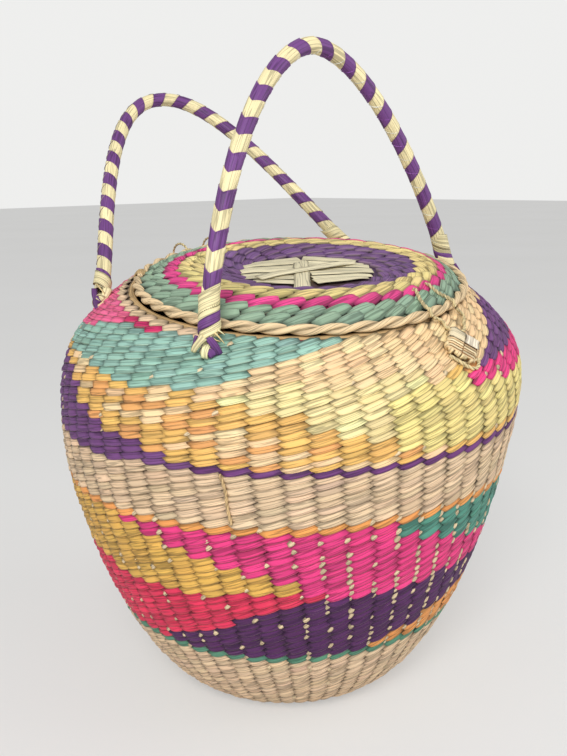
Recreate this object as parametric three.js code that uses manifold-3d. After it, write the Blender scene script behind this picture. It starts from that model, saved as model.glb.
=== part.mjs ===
// Lidded pot basket of woven palm, with two wrapped arch handles and a loop and button latch.
// Millimetres, +Z up. The origin is the middle of the flat base, where it rests.
// The latch is on the -Y side, the lid's hinge ties are on the +Y side.

import * as THREE from 'three';
import { mergeVertices } from 'three/addons/utils/BufferGeometryUtils.js';
import Module from 'manifold-3d';

const wasm = await Module();
wasm.setup();

// Running gap between pieces that touch.
const gap = 0.3;

// The pot.
const baseRadius = 80;
const bellyRadius = 191.5;
const bellyHeight = 262;
const mouthRadius = 140;
const mouthHeight = 338;
const wallThickness = 7;
const baseThickness = 7;
const heelFullness = 0.6;
const flankFullness = 1.6;
const shoulderDrop = 2.7;
const shoulderSoftness = 1.2;
const facets = 48;

// Heights where the weaver changed colours, and one course of the wall ends and the next begins.
const footTop = 76;
const lowerTop = 195;
const waistTop = 246;

// The pot has settled out of true: above this height its mouth leans and drifts sideways.
const leanStart = 180;
const leanSlope = 0.155;
const leanDirection = 231;
const mouthDrift = 12.6;

// The border row at the mouth.
const rimHeight = 8;

// The lid.
const lidRadius = 140;
const ropeDiameter = 8;
const panelThickness = 5;
const panelEdgeTop = 7.5;
const panelCrown = 16;
const panelCentre = 9;
const crownRadius = 94;
const centreFlatRadius = 54;
const lidShiftX = 2.5;
const lidShiftY = -4.5;
const wideStrip = { length: 82, width: 15, thickness: 1.2, turn: 45, x: -8, y: -9 };
const narrowStrip = { length: 85, width: 7, thickness: 1.2, turn: -3, x: 0, y: -14 };
const spliceAngle = 134;
const spliceLength = 16;

// The hinge ties, two loops of twisted cord.
const tieCord = 2.4;
const tieSpread = 18;

// The handles: a stiff core in a wrap of flat palm strips, each foot tied through the wall.
const wrapDiameter = 13;
const coreDiameter = 8;
const footBall = 9;
const footRaise = 4;
const footShank = 8;
const footKnot = 12;
const frontHandle = {
  leftFoot: 202.8, leftHeight: 327, rightFoot: 343.1, rightHeight: 322,
  lean: 6, rise: 203.3, spread: 1.82, crown: 0.79,
};
const rearHandle = {
  leftFoot: 137, leftHeight: 320.5, rightFoot: 21.4, rightHeight: 320.5,
  lean: 37.9, rise: 213, spread: 2.14, crown: 1.24,
};

// The latch: a cord loop on the lid and a woven button on the wall.
const latchCord = 3;
const loopLeft = { holeX: 3, holeY: -118, rimAngle: -92 };
const loopRight = { holeX: 21, holeY: -116, rimAngle: -79 };
const button = { angle: 272.5, height: 318, size: 24, thickness: 7, turn: 33, lift: 2.5 };
const buttonNeck = 5;
const buttonKnot = 12;
const keeperCord = 3;

// The mend on the wall, a short length of twisted cord.
const mendCord = 2.5;
const mendRoute = [[211.8, 246], [213.1, 231], [213.6, 216], [214.4, 201]];

const radians = THREE.MathUtils.degToRad;
const clamp = THREE.MathUtils.clamp;

// Radius of the pot's outside at a height, before it leans.
function potRadius(height) {
  if (height <= bellyHeight) {
    const up = clamp(height / bellyHeight, 0, 1);
    const swell = Math.pow(1 - Math.pow(1 - up, flankFullness), heelFullness);
    return baseRadius + (bellyRadius - baseRadius) * swell;
  }
  const up = clamp((height - bellyHeight) / (mouthHeight - bellyHeight), 0, 1);
  const drawIn = Math.pow(1 - Math.pow(up, shoulderDrop), shoulderSoftness);
  return mouthRadius + (bellyRadius - mouthRadius) * drawIn;
}

// Moves a point of the true pot to where it lies on the settled one.
function settle(point) {
  const rise = clamp((point.z - leanStart) / (mouthHeight - leanStart), 0, 1);
  const share = rise * rise * (3 - 2 * rise);
  const along = radians(leanDirection);
  const downhill = point.x * Math.cos(along) + point.y * Math.sin(along);
  point.z -= leanSlope * share * downhill;
  point.x += mouthDrift * share;
  return point;
}

function potPoint(angle, height) {
  const radius = potRadius(height);
  const turn = radians(angle);
  return settle(new THREE.Vector3(radius * Math.cos(turn), radius * Math.sin(turn), height));
}

// Frame on the outside of the wall: x along the rows, y up the slope, z out of the wall.
function wallFrame(angle, height) {
  const step = 0.5;
  const point = potPoint(angle, height);
  const along = potPoint(angle + step, height).sub(potPoint(angle - step, height)).normalize();
  const up = potPoint(angle, height + step).sub(potPoint(angle, height - step)).normalize();
  const out = new THREE.Vector3().crossVectors(along, up).normalize();
  up.crossVectors(out, along).normalize();
  return { point, along, up, out };
}

function wallPoint(angle, height, lift) {
  const frame = wallFrame(angle, height);
  return frame.point.addScaledVector(frame.out, lift);
}

// Puts an object at a wall frame.
function seatOnWall(object, angle, height) {
  const frame = wallFrame(angle, height);
  const matrix = new THREE.Matrix4().makeBasis(frame.along, frame.up, frame.out);
  object.quaternion.setFromRotationMatrix(matrix);
  object.position.copy(frame.point);
  return object;
}

// Closed meshes and booleans.
function weld(geometry) {
  geometry.deleteAttribute('normal');
  geometry.deleteAttribute('uv');
  return mergeVertices(geometry, 1e-4);
}

function solidOf(geometry) {
  const welded = weld(geometry);
  return new wasm.Manifold(new wasm.Mesh({
    numProp: 3,
    vertProperties: new Float32Array(welded.attributes.position.array),
    triVerts: new Uint32Array(welded.index.array),
  }));
}

function geometryOf(solid) {
  const mesh = solid.getMesh();
  const geometry = new THREE.BufferGeometry();
  geometry.setAttribute('position', new THREE.BufferAttribute(new Float32Array(mesh.vertProperties), 3));
  geometry.setIndex(new THREE.BufferAttribute(new Uint32Array(mesh.triVerts), 1));
  return geometry;
}

function piece(name, geometry, color, roughness) {
  const material = new THREE.MeshStandardMaterial({ color, roughness, metalness: 0 });
  const mesh = new THREE.Mesh(weld(geometry), material);
  mesh.name = name;
  return mesh;
}

// A profile of [radius, height] pairs turned about +Z.
function turned(profile, sides) {
  const points = profile.map(([radius, height]) => new THREE.Vector2(radius, height));
  return new THREE.LatheGeometry(points, sides).rotateX(Math.PI / 2);
}

// A ring whose section is a circle.
function hoop(radius, cord, sides, sectionSides) {
  const profile = [];
  for (let i = 0; i <= sectionSides; i += 1) {
    const turn = (i / sectionSides) * 2 * Math.PI;
    profile.push([radius + (cord / 2) * Math.cos(turn), (cord / 2) * Math.sin(turn)]);
  }
  return turned(profile, sides);
}

function roundShape(diameter, sides) {
  const points = [];
  for (let i = 0; i < sides; i += 1) {
    const turn = (i / sides) * 2 * Math.PI;
    points.push(new THREE.Vector2((diameter / 2) * Math.cos(turn), (diameter / 2) * Math.sin(turn)));
  }
  return points;
}

function cordAlong(points, diameter, steps, sides, bore = 0) {
  const shape = new THREE.Shape(roundShape(diameter, sides));
  if (bore > 0) {
    shape.holes.push(new THREE.Path(roundShape(bore, sides)));
  }
  const extrudePath = new THREE.CatmullRomCurve3(points, false, 'centripetal');
  return new THREE.ExtrudeGeometry(shape, { steps, extrudePath, bevelEnabled: false });
}

const straw = 0xd9bd8a;
const paleStraw = 0xe6d6b0;
const tan = 0xc9a26a;
const purple = 0x4d2f5c;
const teal = 0x4f8f7c;

const model = new THREE.Group();
model.name = 'lidded_basket';

// The pot's wall, from the base's edge to the border row.
const wallTop = mouthHeight - rimHeight - gap;

// Heights of the profile's points, closer together at the heel and at the shoulder.
function wallHeights() {
  const heights = [];
  const below = 11;
  const above = 8;
  for (let i = 0; i < below; i += 1) {
    heights.push(bellyHeight * Math.pow(i / below, 1.6));
  }
  for (let i = 0; i <= above; i += 1) {
    const left = 1 - i / above;
    heights.push(wallTop - (wallTop - bellyHeight) * Math.pow(left, 1.3));
  }
  return heights;
}

function wallLines() {
  const step = 0.4;
  const outer = [];
  const inner = [];
  wallHeights().forEach((height) => {
    const below = Math.max(height - step, 0);
    const above = Math.min(height + step, wallTop);
    const slope = (potRadius(above) - potRadius(below)) / (above - below);
    const length = Math.hypot(1, slope);
    outer.push([potRadius(height), height]);
    inner.push([potRadius(height) - wallThickness / length, height + (wallThickness * slope) / length]);
  });
  const innerRows = inner.filter(([radius, height]) => {
    return height > baseThickness + 2 * gap && radius > baseRadius && height < wallTop - gap;
  });
  const ringAtTop = [potRadius(wallTop) - wallThickness, wallTop];
  return { outer, inner: [[baseRadius, baseThickness], ...innerRows, ringAtTop] };
}

// The part of a line of [radius, height] pairs that lies between two heights.
function lineBetween(line, low, high) {
  const at = (height) => {
    const above = line.findIndex((point) => point[1] >= height);
    const [upper, lower] = [line[above], line[above - 1]];
    const share = (height - lower[1]) / (upper[1] - lower[1]);
    return [lower[0] + (upper[0] - lower[0]) * share, height];
  };
  const part = line.filter(([, height]) => height > low + gap && height < high - gap);
  const first = line[0][1] >= low ? line[0] : at(low);
  const last = line[line.length - 1][1] <= high ? line[line.length - 1] : at(high);
  return [first, ...part.filter((point) => point !== line[0] && point !== line[line.length - 1]), last];
}

// One course of the wall, as a closed profile.
function courseProfile(low, high) {
  const { outer, inner } = wallLines();
  const outside = lineBetween(outer, low, high);
  const inside = lineBetween(inner, low, high);
  return [...outside, ...inside.reverse(), outside[0]];
}

function settled(geometry) {
  const position = geometry.attributes.position;
  const point = new THREE.Vector3();
  for (let i = 0; i < position.count; i += 1) {
    settle(point.fromBufferAttribute(position, i));
    position.setXYZ(i, point.x, point.y, point.z);
  }
  return geometry;
}

// The lid's own frame lies in the plane of the mouth: x along the hinge, y to the back, z up.
const lidNormal = new THREE.Vector3(
  leanSlope * Math.cos(radians(leanDirection)),
  leanSlope * Math.sin(radians(leanDirection)),
  1,
).normalize();
const lidAlong = new THREE.Vector3(1, 0, 0).addScaledVector(lidNormal, -lidNormal.x).normalize();
const lidBack = new THREE.Vector3().crossVectors(lidNormal, lidAlong);
const lidFrame = new THREE.Matrix4().makeBasis(lidAlong, lidBack, lidNormal);
lidFrame.setPosition(settle(new THREE.Vector3(lidShiftX, lidShiftY, mouthHeight)));

function onLid(x, y, z) {
  return new THREE.Vector3(x, y, z).applyMatrix4(lidFrame);
}

const ropeRing = lidRadius - ropeDiameter / 2;
const ropeHeight = gap + ropeDiameter / 2;

// The hinge line lies just behind the lid and the tie loops are round it.
const hingeBack = lidRadius + gap;
const hingeHeight = gap / 2;
const ropeAtTie = Math.sqrt(ropeRing * ropeRing - tieSpread * tieSpread);
const tieReach = Math.hypot(hingeBack - ropeAtTie, ropeHeight - hingeHeight);
const tieRadius = tieReach + ropeDiameter / 2 + tieCord / 2 + 2 * gap;

function tieLoop(side, cord, sides, sectionSides) {
  const loop = hoop(tieRadius, cord, sides, sectionSides).rotateY(Math.PI / 2);
  loop.translate(side * tieSpread, hingeBack, hingeHeight);
  return loop.applyMatrix4(lidFrame);
}

const tieHoles = [-1, 1].map((side) => solidOf(tieLoop(side, tieCord + 2 * gap, 24, 8)));

// The handle feet are rivets of knotted strips: ball outside, shank, knot inside.
const feet = [
  ['foot_front_left', frontHandle.leftFoot, frontHandle.leftHeight],
  ['foot_front_right', frontHandle.rightFoot, frontHandle.rightHeight],
  ['foot_rear_left', rearHandle.leftFoot, rearHandle.leftHeight],
  ['foot_rear_right', rearHandle.rightFoot, rearHandle.rightHeight],
];

function rivetProfile(headPoints, shank, knot) {
  const under = -wallThickness - 6 * gap;
  const knotDepth = knot / 3;
  return [
    [0, under - knotDepth],
    [knot * 0.35, under - knotDepth],
    [knot / 2, under - knotDepth / 2],
    [knot / 2, under],
    [shank / 2, under],
    ...headPoints,
  ];
}

function footProfile() {
  const head = [[footShank / 2, gap]];
  const start = Math.asin((gap - footRaise) / footBall);
  const steps = 7;
  for (let i = 0; i < steps; i += 1) {
    const lift = start + ((Math.PI / 2 - start) * i) / steps;
    head.push([footBall * Math.cos(lift), footRaise + footBall * Math.sin(lift)]);
  }
  head.push([0, footRaise + footBall]);
  return rivetProfile(head, footShank, footKnot);
}

// A bore through the wall, as a plain turned rod in the wall's frame.
function wallBore(angle, height, diameter) {
  const reach = 2 * wallThickness;
  const rod = turned([[0, -reach], [diameter / 2, -reach], [diameter / 2, reach], [0, reach]], 16);
  const holder = seatOnWall(new THREE.Object3D(), angle, height);
  holder.updateMatrix();
  return solidOf(rod.applyMatrix4(holder.matrix));
}

const bores = feet.map(([, angle, height]) => wallBore(angle, height, footShank + 2 * gap));
bores.push(wallBore(button.angle, button.height, buttonNeck + 2 * gap));

// Base panel, the flat woven disc that the wall grows from.
const baseEdge = 1.5;
const base = turned([
  [0, 0],
  [baseRadius - gap - baseEdge, 0],
  [baseRadius - gap, baseEdge],
  [baseRadius - gap, baseThickness],
  [0, baseThickness],
], facets);
model.add(piece('base_panel', base, straw, 0.8));

// The wall is one weave. It is made in four courses that meet where the colours change.
const courses = [
  ['wall_foot_course', 0, footTop - gap / 2],
  ['wall_lower_course', footTop + gap / 2, lowerTop - gap / 2],
  ['wall_waist_course', lowerTop + gap / 2, waistTop - gap / 2],
  ['wall_shoulder_course', waistTop + gap / 2, wallTop],
];
courses.forEach(([name, low, high]) => {
  const course = solidOf(settled(turned(courseProfile(low, high), facets)));
  const cut = high < wallTop ? course : [...bores, ...tieHoles].reduce((solid, hole) => solid.subtract(hole), course);
  model.add(piece(name, geometryOf(cut), straw, 0.75));
});

// Border row at the mouth.
function rimProfile() {
  const outside = potRadius(mouthHeight - rimHeight);
  const inside = mouthRadius - wallThickness;
  const bevel = 1.5;
  return [
    [inside, mouthHeight - rimHeight],
    [outside, mouthHeight - rimHeight],
    [mouthRadius + bevel, mouthHeight - bevel],
    [mouthRadius, mouthHeight],
    [inside + bevel, mouthHeight],
    [inside, mouthHeight - bevel],
    [inside, mouthHeight - rimHeight],
  ];
}

const rimSolid = tieHoles.reduce(
  (solid, cut) => solid.subtract(cut),
  solidOf(settled(turned(rimProfile(), facets))),
);
model.add(piece('mouth_rim', geometryOf(rimSolid), paleStraw, 0.75));

feet.forEach(([name, angle, height], index) => {
  const foot = piece(name, turned(footProfile(), 16), index % 2 ? paleStraw : purple, 0.5);
  model.add(seatOnWall(foot, angle, height));
});

[['hinge_tie_left', -1], ['hinge_tie_right', 1]].forEach(([name, side]) => {
  model.add(piece(name, tieLoop(side, tieCord, 24, 6), tan, 0.8));
});

// Mend on the wall, lying on the weave.
const mendLift = mendCord / 2;
const mendPoints = mendRoute.map(([angle, height]) => wallPoint(angle, height, mendLift));
model.add(piece('mend_cord', cordAlong(mendPoints, mendCord, 10, 8), tan, 0.85));

// Latch button: a folded square of palm on a neck that is knotted inside the wall.
const buttonSeat = seatOnWall(new THREE.Group(), button.angle, button.height);
model.add(buttonSeat);

function buttonBlock() {
  const corner = 3;
  const half = button.size / 2;
  const inner = half - corner;
  const shape = new THREE.Shape();
  shape.moveTo(inner, -half);
  shape.absarc(inner, -inner, corner, -Math.PI / 2, 0, false);
  shape.absarc(inner, inner, corner, 0, Math.PI / 2, false);
  shape.absarc(-inner, inner, corner, Math.PI / 2, Math.PI, false);
  shape.absarc(-inner, -inner, corner, Math.PI, 1.5 * Math.PI, false);
  return new THREE.ExtrudeGeometry(shape, {
    depth: button.thickness - 3,
    bevelEnabled: true,
    bevelThickness: 1.5,
    bevelSize: 1.5,
    bevelOffset: -1.5,
    bevelSegments: 2,
    curveSegments: 2,
  });
}

const block = piece('latch_button', buttonBlock(), paleStraw, 0.6);
block.rotation.z = radians(button.turn);
block.position.z = button.lift + 1.5;
buttonSeat.add(block);

const neckProfile = rivetProfile(
  [[buttonNeck / 2, button.lift - gap], [0, button.lift - gap]],
  buttonNeck,
  buttonKnot,
);
buttonSeat.add(piece('button_neck', turned(neckProfile, 12), tan, 0.85));

// Keeper cord, a bight of cord that hugs two sides of the button.
function keeperPoints() {
  const side = button.size / 2 + keeperCord / 2 + 3 * gap;
  const bend = side - 5;
  const drop = keeperCord / 2 + 2 * gap;
  const route = [[-side, bend], [-side, 0], [-side, -bend], [-bend - 3, -bend - 3], [-bend, -side], [0, -side]];
  const turn = radians(button.turn);
  const axis = new THREE.Vector3(0, 0, 1);
  return route.map(([x, y]) => new THREE.Vector3(x, y, drop).applyAxisAngle(axis, turn));
}

buttonSeat.add(piece('button_keeper', cordAlong(keeperPoints(), keeperCord, 12, 8), tan, 0.85));

// Lid panel: a shallow woven dome with a sunken flat middle.
function panelTop(radius) {
  const edge = lidRadius - ropeDiameter - gap;
  if (radius <= centreFlatRadius) {
    return panelCentre;
  }
  if (radius <= crownRadius) {
    const up = (radius - centreFlatRadius) / (crownRadius - centreFlatRadius);
    return panelCentre + (panelCrown - panelCentre) * up * up * (3 - 2 * up);
  }
  const down = (radius - crownRadius) / (edge - crownRadius);
  return panelCrown - (panelCrown - panelEdgeTop) * Math.pow(down, 1.7);
}

function panelProfile() {
  const edge = lidRadius - ropeDiameter - gap;
  const top = [];
  const rings = 8;
  for (let i = 0; i <= rings; i += 1) {
    const radius = centreFlatRadius + ((edge - centreFlatRadius) * i) / rings;
    top.push([radius, panelTop(radius)]);
  }
  const bottom = top.map(([radius, height]) => [radius, height - panelThickness]);
  return [[0, panelCentre - panelThickness], ...bottom, ...top.reverse(), [0, panelCentre]];
}

const panelSolid = tieHoles.reduce(
  (solid, cut) => solid.subtract(cut),
  solidOf(turned(panelProfile(), facets).applyMatrix4(lidFrame)),
);
model.add(piece('lid_panel', geometryOf(panelSolid), teal, 0.7));

// Pieces that ride in the lid's frame.
const lid = new THREE.Group();
lid.applyMatrix4(lidFrame);
model.add(lid);

// The rope is one length bent round the rim; its two ends meet at a short bound splice.
function ropeArc(start, sweep, steps) {
  const points = [];
  for (let i = 0; i <= steps; i += 1) {
    const turn = start + (sweep * i) / steps;
    points.push(new THREE.Vector3(ropeRing * Math.cos(turn), ropeRing * Math.sin(turn), ropeHeight));
  }
  return cordAlong(points, ropeDiameter, steps, 10);
}

const spliceSweep = spliceLength / ropeRing;
const spliceStart = radians(spliceAngle) - spliceSweep / 2;
const spliceGap = (2 * gap) / ropeRing;
const ropeStart = spliceStart + spliceSweep + spliceGap;
const ropeSweep = 2 * Math.PI - spliceSweep - 2 * spliceGap;
lid.add(piece('lid_rim_rope', ropeArc(ropeStart, ropeSweep, facets), paleStraw, 0.7));
lid.add(piece('rope_splice', ropeArc(spliceStart, spliceSweep, 3), tan, 0.8));

// Strips crossing on the lid's middle.
function stripPiece(name, strip, height) {
  const box = new THREE.BoxGeometry(strip.length, strip.width, strip.thickness);
  const mesh = piece(name, box, paleStraw, 0.6);
  mesh.rotation.z = radians(strip.turn);
  mesh.position.set(strip.x, strip.y, height + strip.thickness / 2);
  return mesh;
}

const wideStripHeight = panelCentre + gap;
const narrowStripHeight = wideStripHeight + wideStrip.thickness + gap;
lid.add(stripPiece('lid_strip_wide', wideStrip, wideStripHeight));
lid.add(stripPiece('lid_strip_narrow', narrowStrip, narrowStripHeight));

// Latch cord: each end lies on the lid from its hole to a bead outside the rope.
const beadRadius = latchCord / 2 + gap;
const beadReach = lidRadius + gap + beadRadius;

function beadOf(end) {
  const turn = radians(end.rimAngle);
  return new THREE.Vector3(beadReach * Math.cos(turn), beadReach * Math.sin(turn), ropeHeight);
}

function cordEnd(end) {
  const turn = radians(end.rimAngle);
  const lift = latchCord / 2 + 2 * gap;
  const start = new THREE.Vector3(end.holeX, end.holeY, 0);
  start.z = panelTop(start.length()) + lift;
  const overRope = ropeHeight + ropeDiameter / 2 + lift;
  const points = [start];
  const inside = new THREE.Vector3(ropeRing * Math.cos(turn), ropeRing * Math.sin(turn), overRope);
  points.push(start.clone().lerp(inside, 0.5).setZ(overRope + 1.5));
  points.push(inside);
  const outside = ropeRing + (ropeDiameter / 2 + lift) * Math.SQRT1_2;
  const shoulder = ropeHeight + (ropeDiameter / 2 + lift) * Math.SQRT1_2;
  points.push(new THREE.Vector3(outside * Math.cos(turn), outside * Math.sin(turn), shoulder));
  points.push(beadOf(end));
  const bead = new THREE.SphereGeometry(beadRadius, 12, 8).translate(...beadOf(end).toArray());
  return geometryOf(solidOf(cordAlong(points, latchCord, 12, 8)).add(solidOf(bead)));
}

lid.add(piece('latch_cord_left', cordEnd(loopLeft), paleStraw, 0.8));
lid.add(piece('latch_cord_right', cordEnd(loopRight), paleStraw, 0.8));

// Latch loop: hangs from the two beads and lies on the wall round the top of the button.
function loopPoints() {
  const left = beadOf(loopLeft).applyMatrix4(lidFrame);
  const right = beadOf(loopRight).applyMatrix4(lidFrame);
  const lift = latchCord / 2 + 2 * gap;
  const reach = button.size / 2 + latchCord + 3;
  const seat = wallFrame(button.angle, button.height);
  const beside = (along, up) => seat.point.clone()
    .addScaledVector(seat.along, along)
    .addScaledVector(seat.up, up)
    .addScaledVector(seat.out, lift);
  const half = button.size / 2;
  const points = [
    left,
    wallPoint(button.angle, mouthHeight - 5, lift + 1.5),
    beside(-half / 6, reach + 3),
    beside(half / 2, reach + 0.5),
    beside(1.25 * half, reach - 1),
    beside(2 * half, reach + 1.5),
    wallPoint(button.angle + 12, mouthHeight - 7, lift + 1.5),
    right,
  ];
  const clear = beadRadius + gap;
  points[0] = left.clone().add(points[1].clone().sub(left).setLength(clear));
  points[points.length - 1] = right.clone().add(points[points.length - 2].clone().sub(right).setLength(clear));
  return points;
}

model.add(piece('latch_loop', cordAlong(loopPoints(), latchCord, 30, 8), paleStraw, 0.8));

// Handles.
function archPoints(handle) {
  const left = wallPoint(handle.leftFoot, handle.leftHeight, footRaise);
  const right = wallPoint(handle.rightFoot, handle.rightHeight, footRaise);
  const middle = left.clone().add(right).multiplyScalar(0.5);
  const along = right.clone().sub(left).multiplyScalar(0.5);
  const halfSpan = along.length();
  along.normalize();
  const back = new THREE.Vector3().crossVectors(new THREE.Vector3(0, 0, 1), along).normalize();
  const up = new THREE.Vector3().crossVectors(along, back).normalize();
  const tilt = radians(handle.lean);
  const rise = up.multiplyScalar(Math.cos(tilt)).addScaledVector(back, Math.sin(tilt));
  const points = [];
  const samples = 48;
  for (let i = 0; i <= samples; i += 1) {
    const s = (2 * i) / samples - 1;
    const t = Math.sign(s) * (1 - Math.pow(1 - Math.abs(s), 1.6));
    const height = handle.rise * Math.pow(Math.max(1 - Math.pow(Math.abs(t), handle.spread), 0), handle.crown);
    points.push(middle.clone().addScaledVector(along, t * halfSpan).addScaledVector(rise, height));
  }
  const clear = footBall + gap;
  const free = points.filter((p) => p.distanceTo(left) > clear + 4 && p.distanceTo(right) > clear + 4);
  const first = left.clone().add(free[0].clone().sub(left).setLength(clear));
  const last = right.clone().add(free[free.length - 1].clone().sub(right).setLength(clear));
  return { left, right, points: [first, ...free, last] };
}

const arches = { front: archPoints(frontHandle), rear: archPoints(rearHandle) };
Object.entries(arches).forEach(([side, arch]) => {
  const core = cordAlong(arch.points, coreDiameter, 34, 8);
  const wrap = cordAlong(arch.points, wrapDiameter, 34, 10, coreDiameter + 4 * gap);
  model.add(piece(`${side}_handle_core`, core, tan, 0.8));
  model.add(piece(`${side}_handle_wrap`, wrap, purple, 0.45));
});

// The lines that the moving pieces turn about, each as two points.
model.userData.hinges = {
  lid: [onLid(tieSpread, hingeBack, hingeHeight), onLid(-tieSpread, hingeBack, hingeHeight)],
  latch_loop: [
    beadOf(loopRight).applyMatrix4(lidFrame),
    beadOf(loopLeft).applyMatrix4(lidFrame),
  ],
  front_handle: [arches.front.left, arches.front.right],
  rear_handle: [arches.rear.right, arches.rear.left],
};

export default model;
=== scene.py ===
# Lidded pot basket of twined palm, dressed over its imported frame. Metres, +Z up.
# Lengths in the weave's own patterns are in millimetres, and turn to metres as they are laid.
import math

import bmesh
import bpy
import numpy as np
from mathutils import Matrix, Vector


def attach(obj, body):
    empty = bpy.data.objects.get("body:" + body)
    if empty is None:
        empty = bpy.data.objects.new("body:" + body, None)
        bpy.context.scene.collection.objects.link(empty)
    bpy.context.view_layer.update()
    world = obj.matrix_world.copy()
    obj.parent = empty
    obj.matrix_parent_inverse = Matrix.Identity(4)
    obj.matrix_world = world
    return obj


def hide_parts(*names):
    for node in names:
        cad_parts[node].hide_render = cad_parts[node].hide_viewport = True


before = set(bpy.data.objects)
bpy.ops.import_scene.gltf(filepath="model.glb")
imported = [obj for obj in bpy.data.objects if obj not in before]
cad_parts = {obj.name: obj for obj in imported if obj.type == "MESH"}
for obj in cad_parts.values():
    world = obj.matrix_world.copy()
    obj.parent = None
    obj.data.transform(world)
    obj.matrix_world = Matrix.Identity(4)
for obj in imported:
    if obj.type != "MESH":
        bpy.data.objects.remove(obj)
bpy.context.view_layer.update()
scene = bpy.context.scene
scene.view_settings.view_transform = "Standard"

# --------------------
# Camera, light and floor. The camera stands at the height and turn that the
# photograph was taken from. A soft lamp over its left shoulder, a weaker one
# from the right and an even sky light the basket on a pale floor.
FOCAL_PIXELS = 850
PHOTO_HEIGHT = 756
BACKDROP = (0.86, 0.86, 0.85, 1)
pitch = math.radians(13.346)
roll = math.radians(0.778)
look = Vector((0.6947 * math.cos(pitch), 0.7193 * math.cos(pitch), -math.sin(pitch))).normalized()
level_right = look.cross(Vector((0, 0, 1))).normalized()
level_up = level_right.cross(look)
right = level_right * math.cos(roll) - level_up * math.sin(roll)
up = level_right * math.sin(roll) + level_up * math.cos(roll)
camera_data = bpy.data.cameras.new("camera")
camera_data.sensor_width = 36
camera_data.lens = FOCAL_PIXELS * 36 / PHOTO_HEIGHT
camera = bpy.data.objects.new("camera", camera_data)
scene.collection.objects.link(camera)
camera.matrix_world = Matrix((right, up, -look)).transposed().to_4x4()
camera.location = (-0.4974, -0.5136, 0.4260)
scene.camera = camera


def lamp(name, place, size, power):
    """A soft square lamp, turned to the middle of the pot."""
    data = bpy.data.lights.new(name, "AREA")
    data.shape = "SQUARE"
    data.size = size
    data.energy = power
    made = bpy.data.objects.new(name, data)
    scene.collection.objects.link(made)
    made.location = place
    made.rotation_euler = (Vector((0, 0, 0.2)) - Vector(place)).to_track_quat("-Z", "Y").to_euler()


lamp("key_lamp", (-1.35, -1.05, 1.5), 0.75, 29)
lamp("side_lamp", (1.1, -1.3, 0.9), 1.2, 8)

world = bpy.data.worlds.new("studio")
scene.world = world
world.use_nodes = True
sky = world.node_tree
sky.nodes["Background"].inputs["Color"].default_value = (1, 1, 1, 1)
sky.nodes["Background"].inputs["Strength"].default_value = 0.5
seen = sky.nodes.new("ShaderNodeBackground")
seen.inputs["Color"].default_value = BACKDROP
ray = sky.nodes.new("ShaderNodeLightPath")
choose = sky.nodes.new("ShaderNodeMixShader")
sky.links.new(ray.outputs["Is Camera Ray"], choose.inputs[0])
sky.links.new(sky.nodes["Background"].outputs[0], choose.inputs[1])
sky.links.new(seen.outputs[0], choose.inputs[2])
sky.links.new(choose.outputs[0], sky.nodes["World Output"].inputs[0])

bpy.ops.object.select_all(action="DESELECT")
bpy.ops.mesh.primitive_grid_add(x_subdivisions=12, y_subdivisions=12, size=24)
floor = bpy.context.object
floor.name = "floor"


class Shade:
    """A socket of a material's nodes, in which sums can be written."""

    def __init__(self, tree, socket=None):
        self.tree = tree
        self.socket = socket

    def node(self, kind, inputs=(), out=0, stops=(), **settings):
        made = self.tree.nodes.new("ShaderNode" + kind)
        for key, value in settings.items():
            setattr(made, key, value)
        for spot, (place, colour) in enumerate(stops):
            ramp = made.color_ramp.elements
            mark = ramp[spot] if spot < 2 else ramp.new(place)
            mark.position = place
            mark.color = (*colour, 1)
        for key, value in dict(inputs).items():
            if isinstance(value, Shade):
                self.tree.links.new(value.socket, made.inputs[key])
            else:
                made.inputs[key].default_value = value
        return Shade(self.tree, made.outputs[out])

    def sum_of(self, operation, first, second):
        return self.node("Math", {0: first, 1: second}, operation=operation)

    def __add__(self, other):
        return self.sum_of("ADD", self, other)

    __radd__ = __add__

    def __mul__(self, other):
        return self.sum_of("MULTIPLY", self, other)

    __rmul__ = __mul__

    def __sub__(self, other):
        return self.sum_of("SUBTRACT", self, other)

    def __rsub__(self, other):
        return self.sum_of("SUBTRACT", other, self)

    def between(self, low, high):
        """0 below low and 1 above high."""
        return self.node(
            "MapRange", {"Value": self, "From Min": low, "From Max": high}, interpolation_type="SMOOTHSTEP"
        )

    def blend(self, share, other, how="MIX"):
        """This colour, with a share of the other."""
        return self.node(
            "Mix", {0: share, 6: self, 7: other}, out=2, data_type="RGBA", blend_type=how, clamp_factor=True
        )


def new_material(name):
    """A fresh material, a Shade that adds nodes to it, and its shader."""
    material = bpy.data.materials.new(name)
    material.use_nodes = True
    tree = material.node_tree
    return material, Shade(tree), tree.nodes["Principled BSDF"]


def feed(shade, shader, **inputs):
    """Sets or links the shader's sockets."""
    for name, value in inputs.items():
        socket = shader.inputs[name.replace("_", " ")]
        if isinstance(value, Shade):
            shade.tree.links.new(value.socket, socket)
        else:
            socket.default_value = value


def paint(red, green, blue):
    """A colour as it shows on a screen, from 0 to 255, in the lamp's own scale."""
    shares = (red / 255, green / 255, blue / 255)
    return tuple(c / 12.92 if c <= 0.04045 else ((c + 0.055) / 1.055) ** 2.4 for c in shares)


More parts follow.
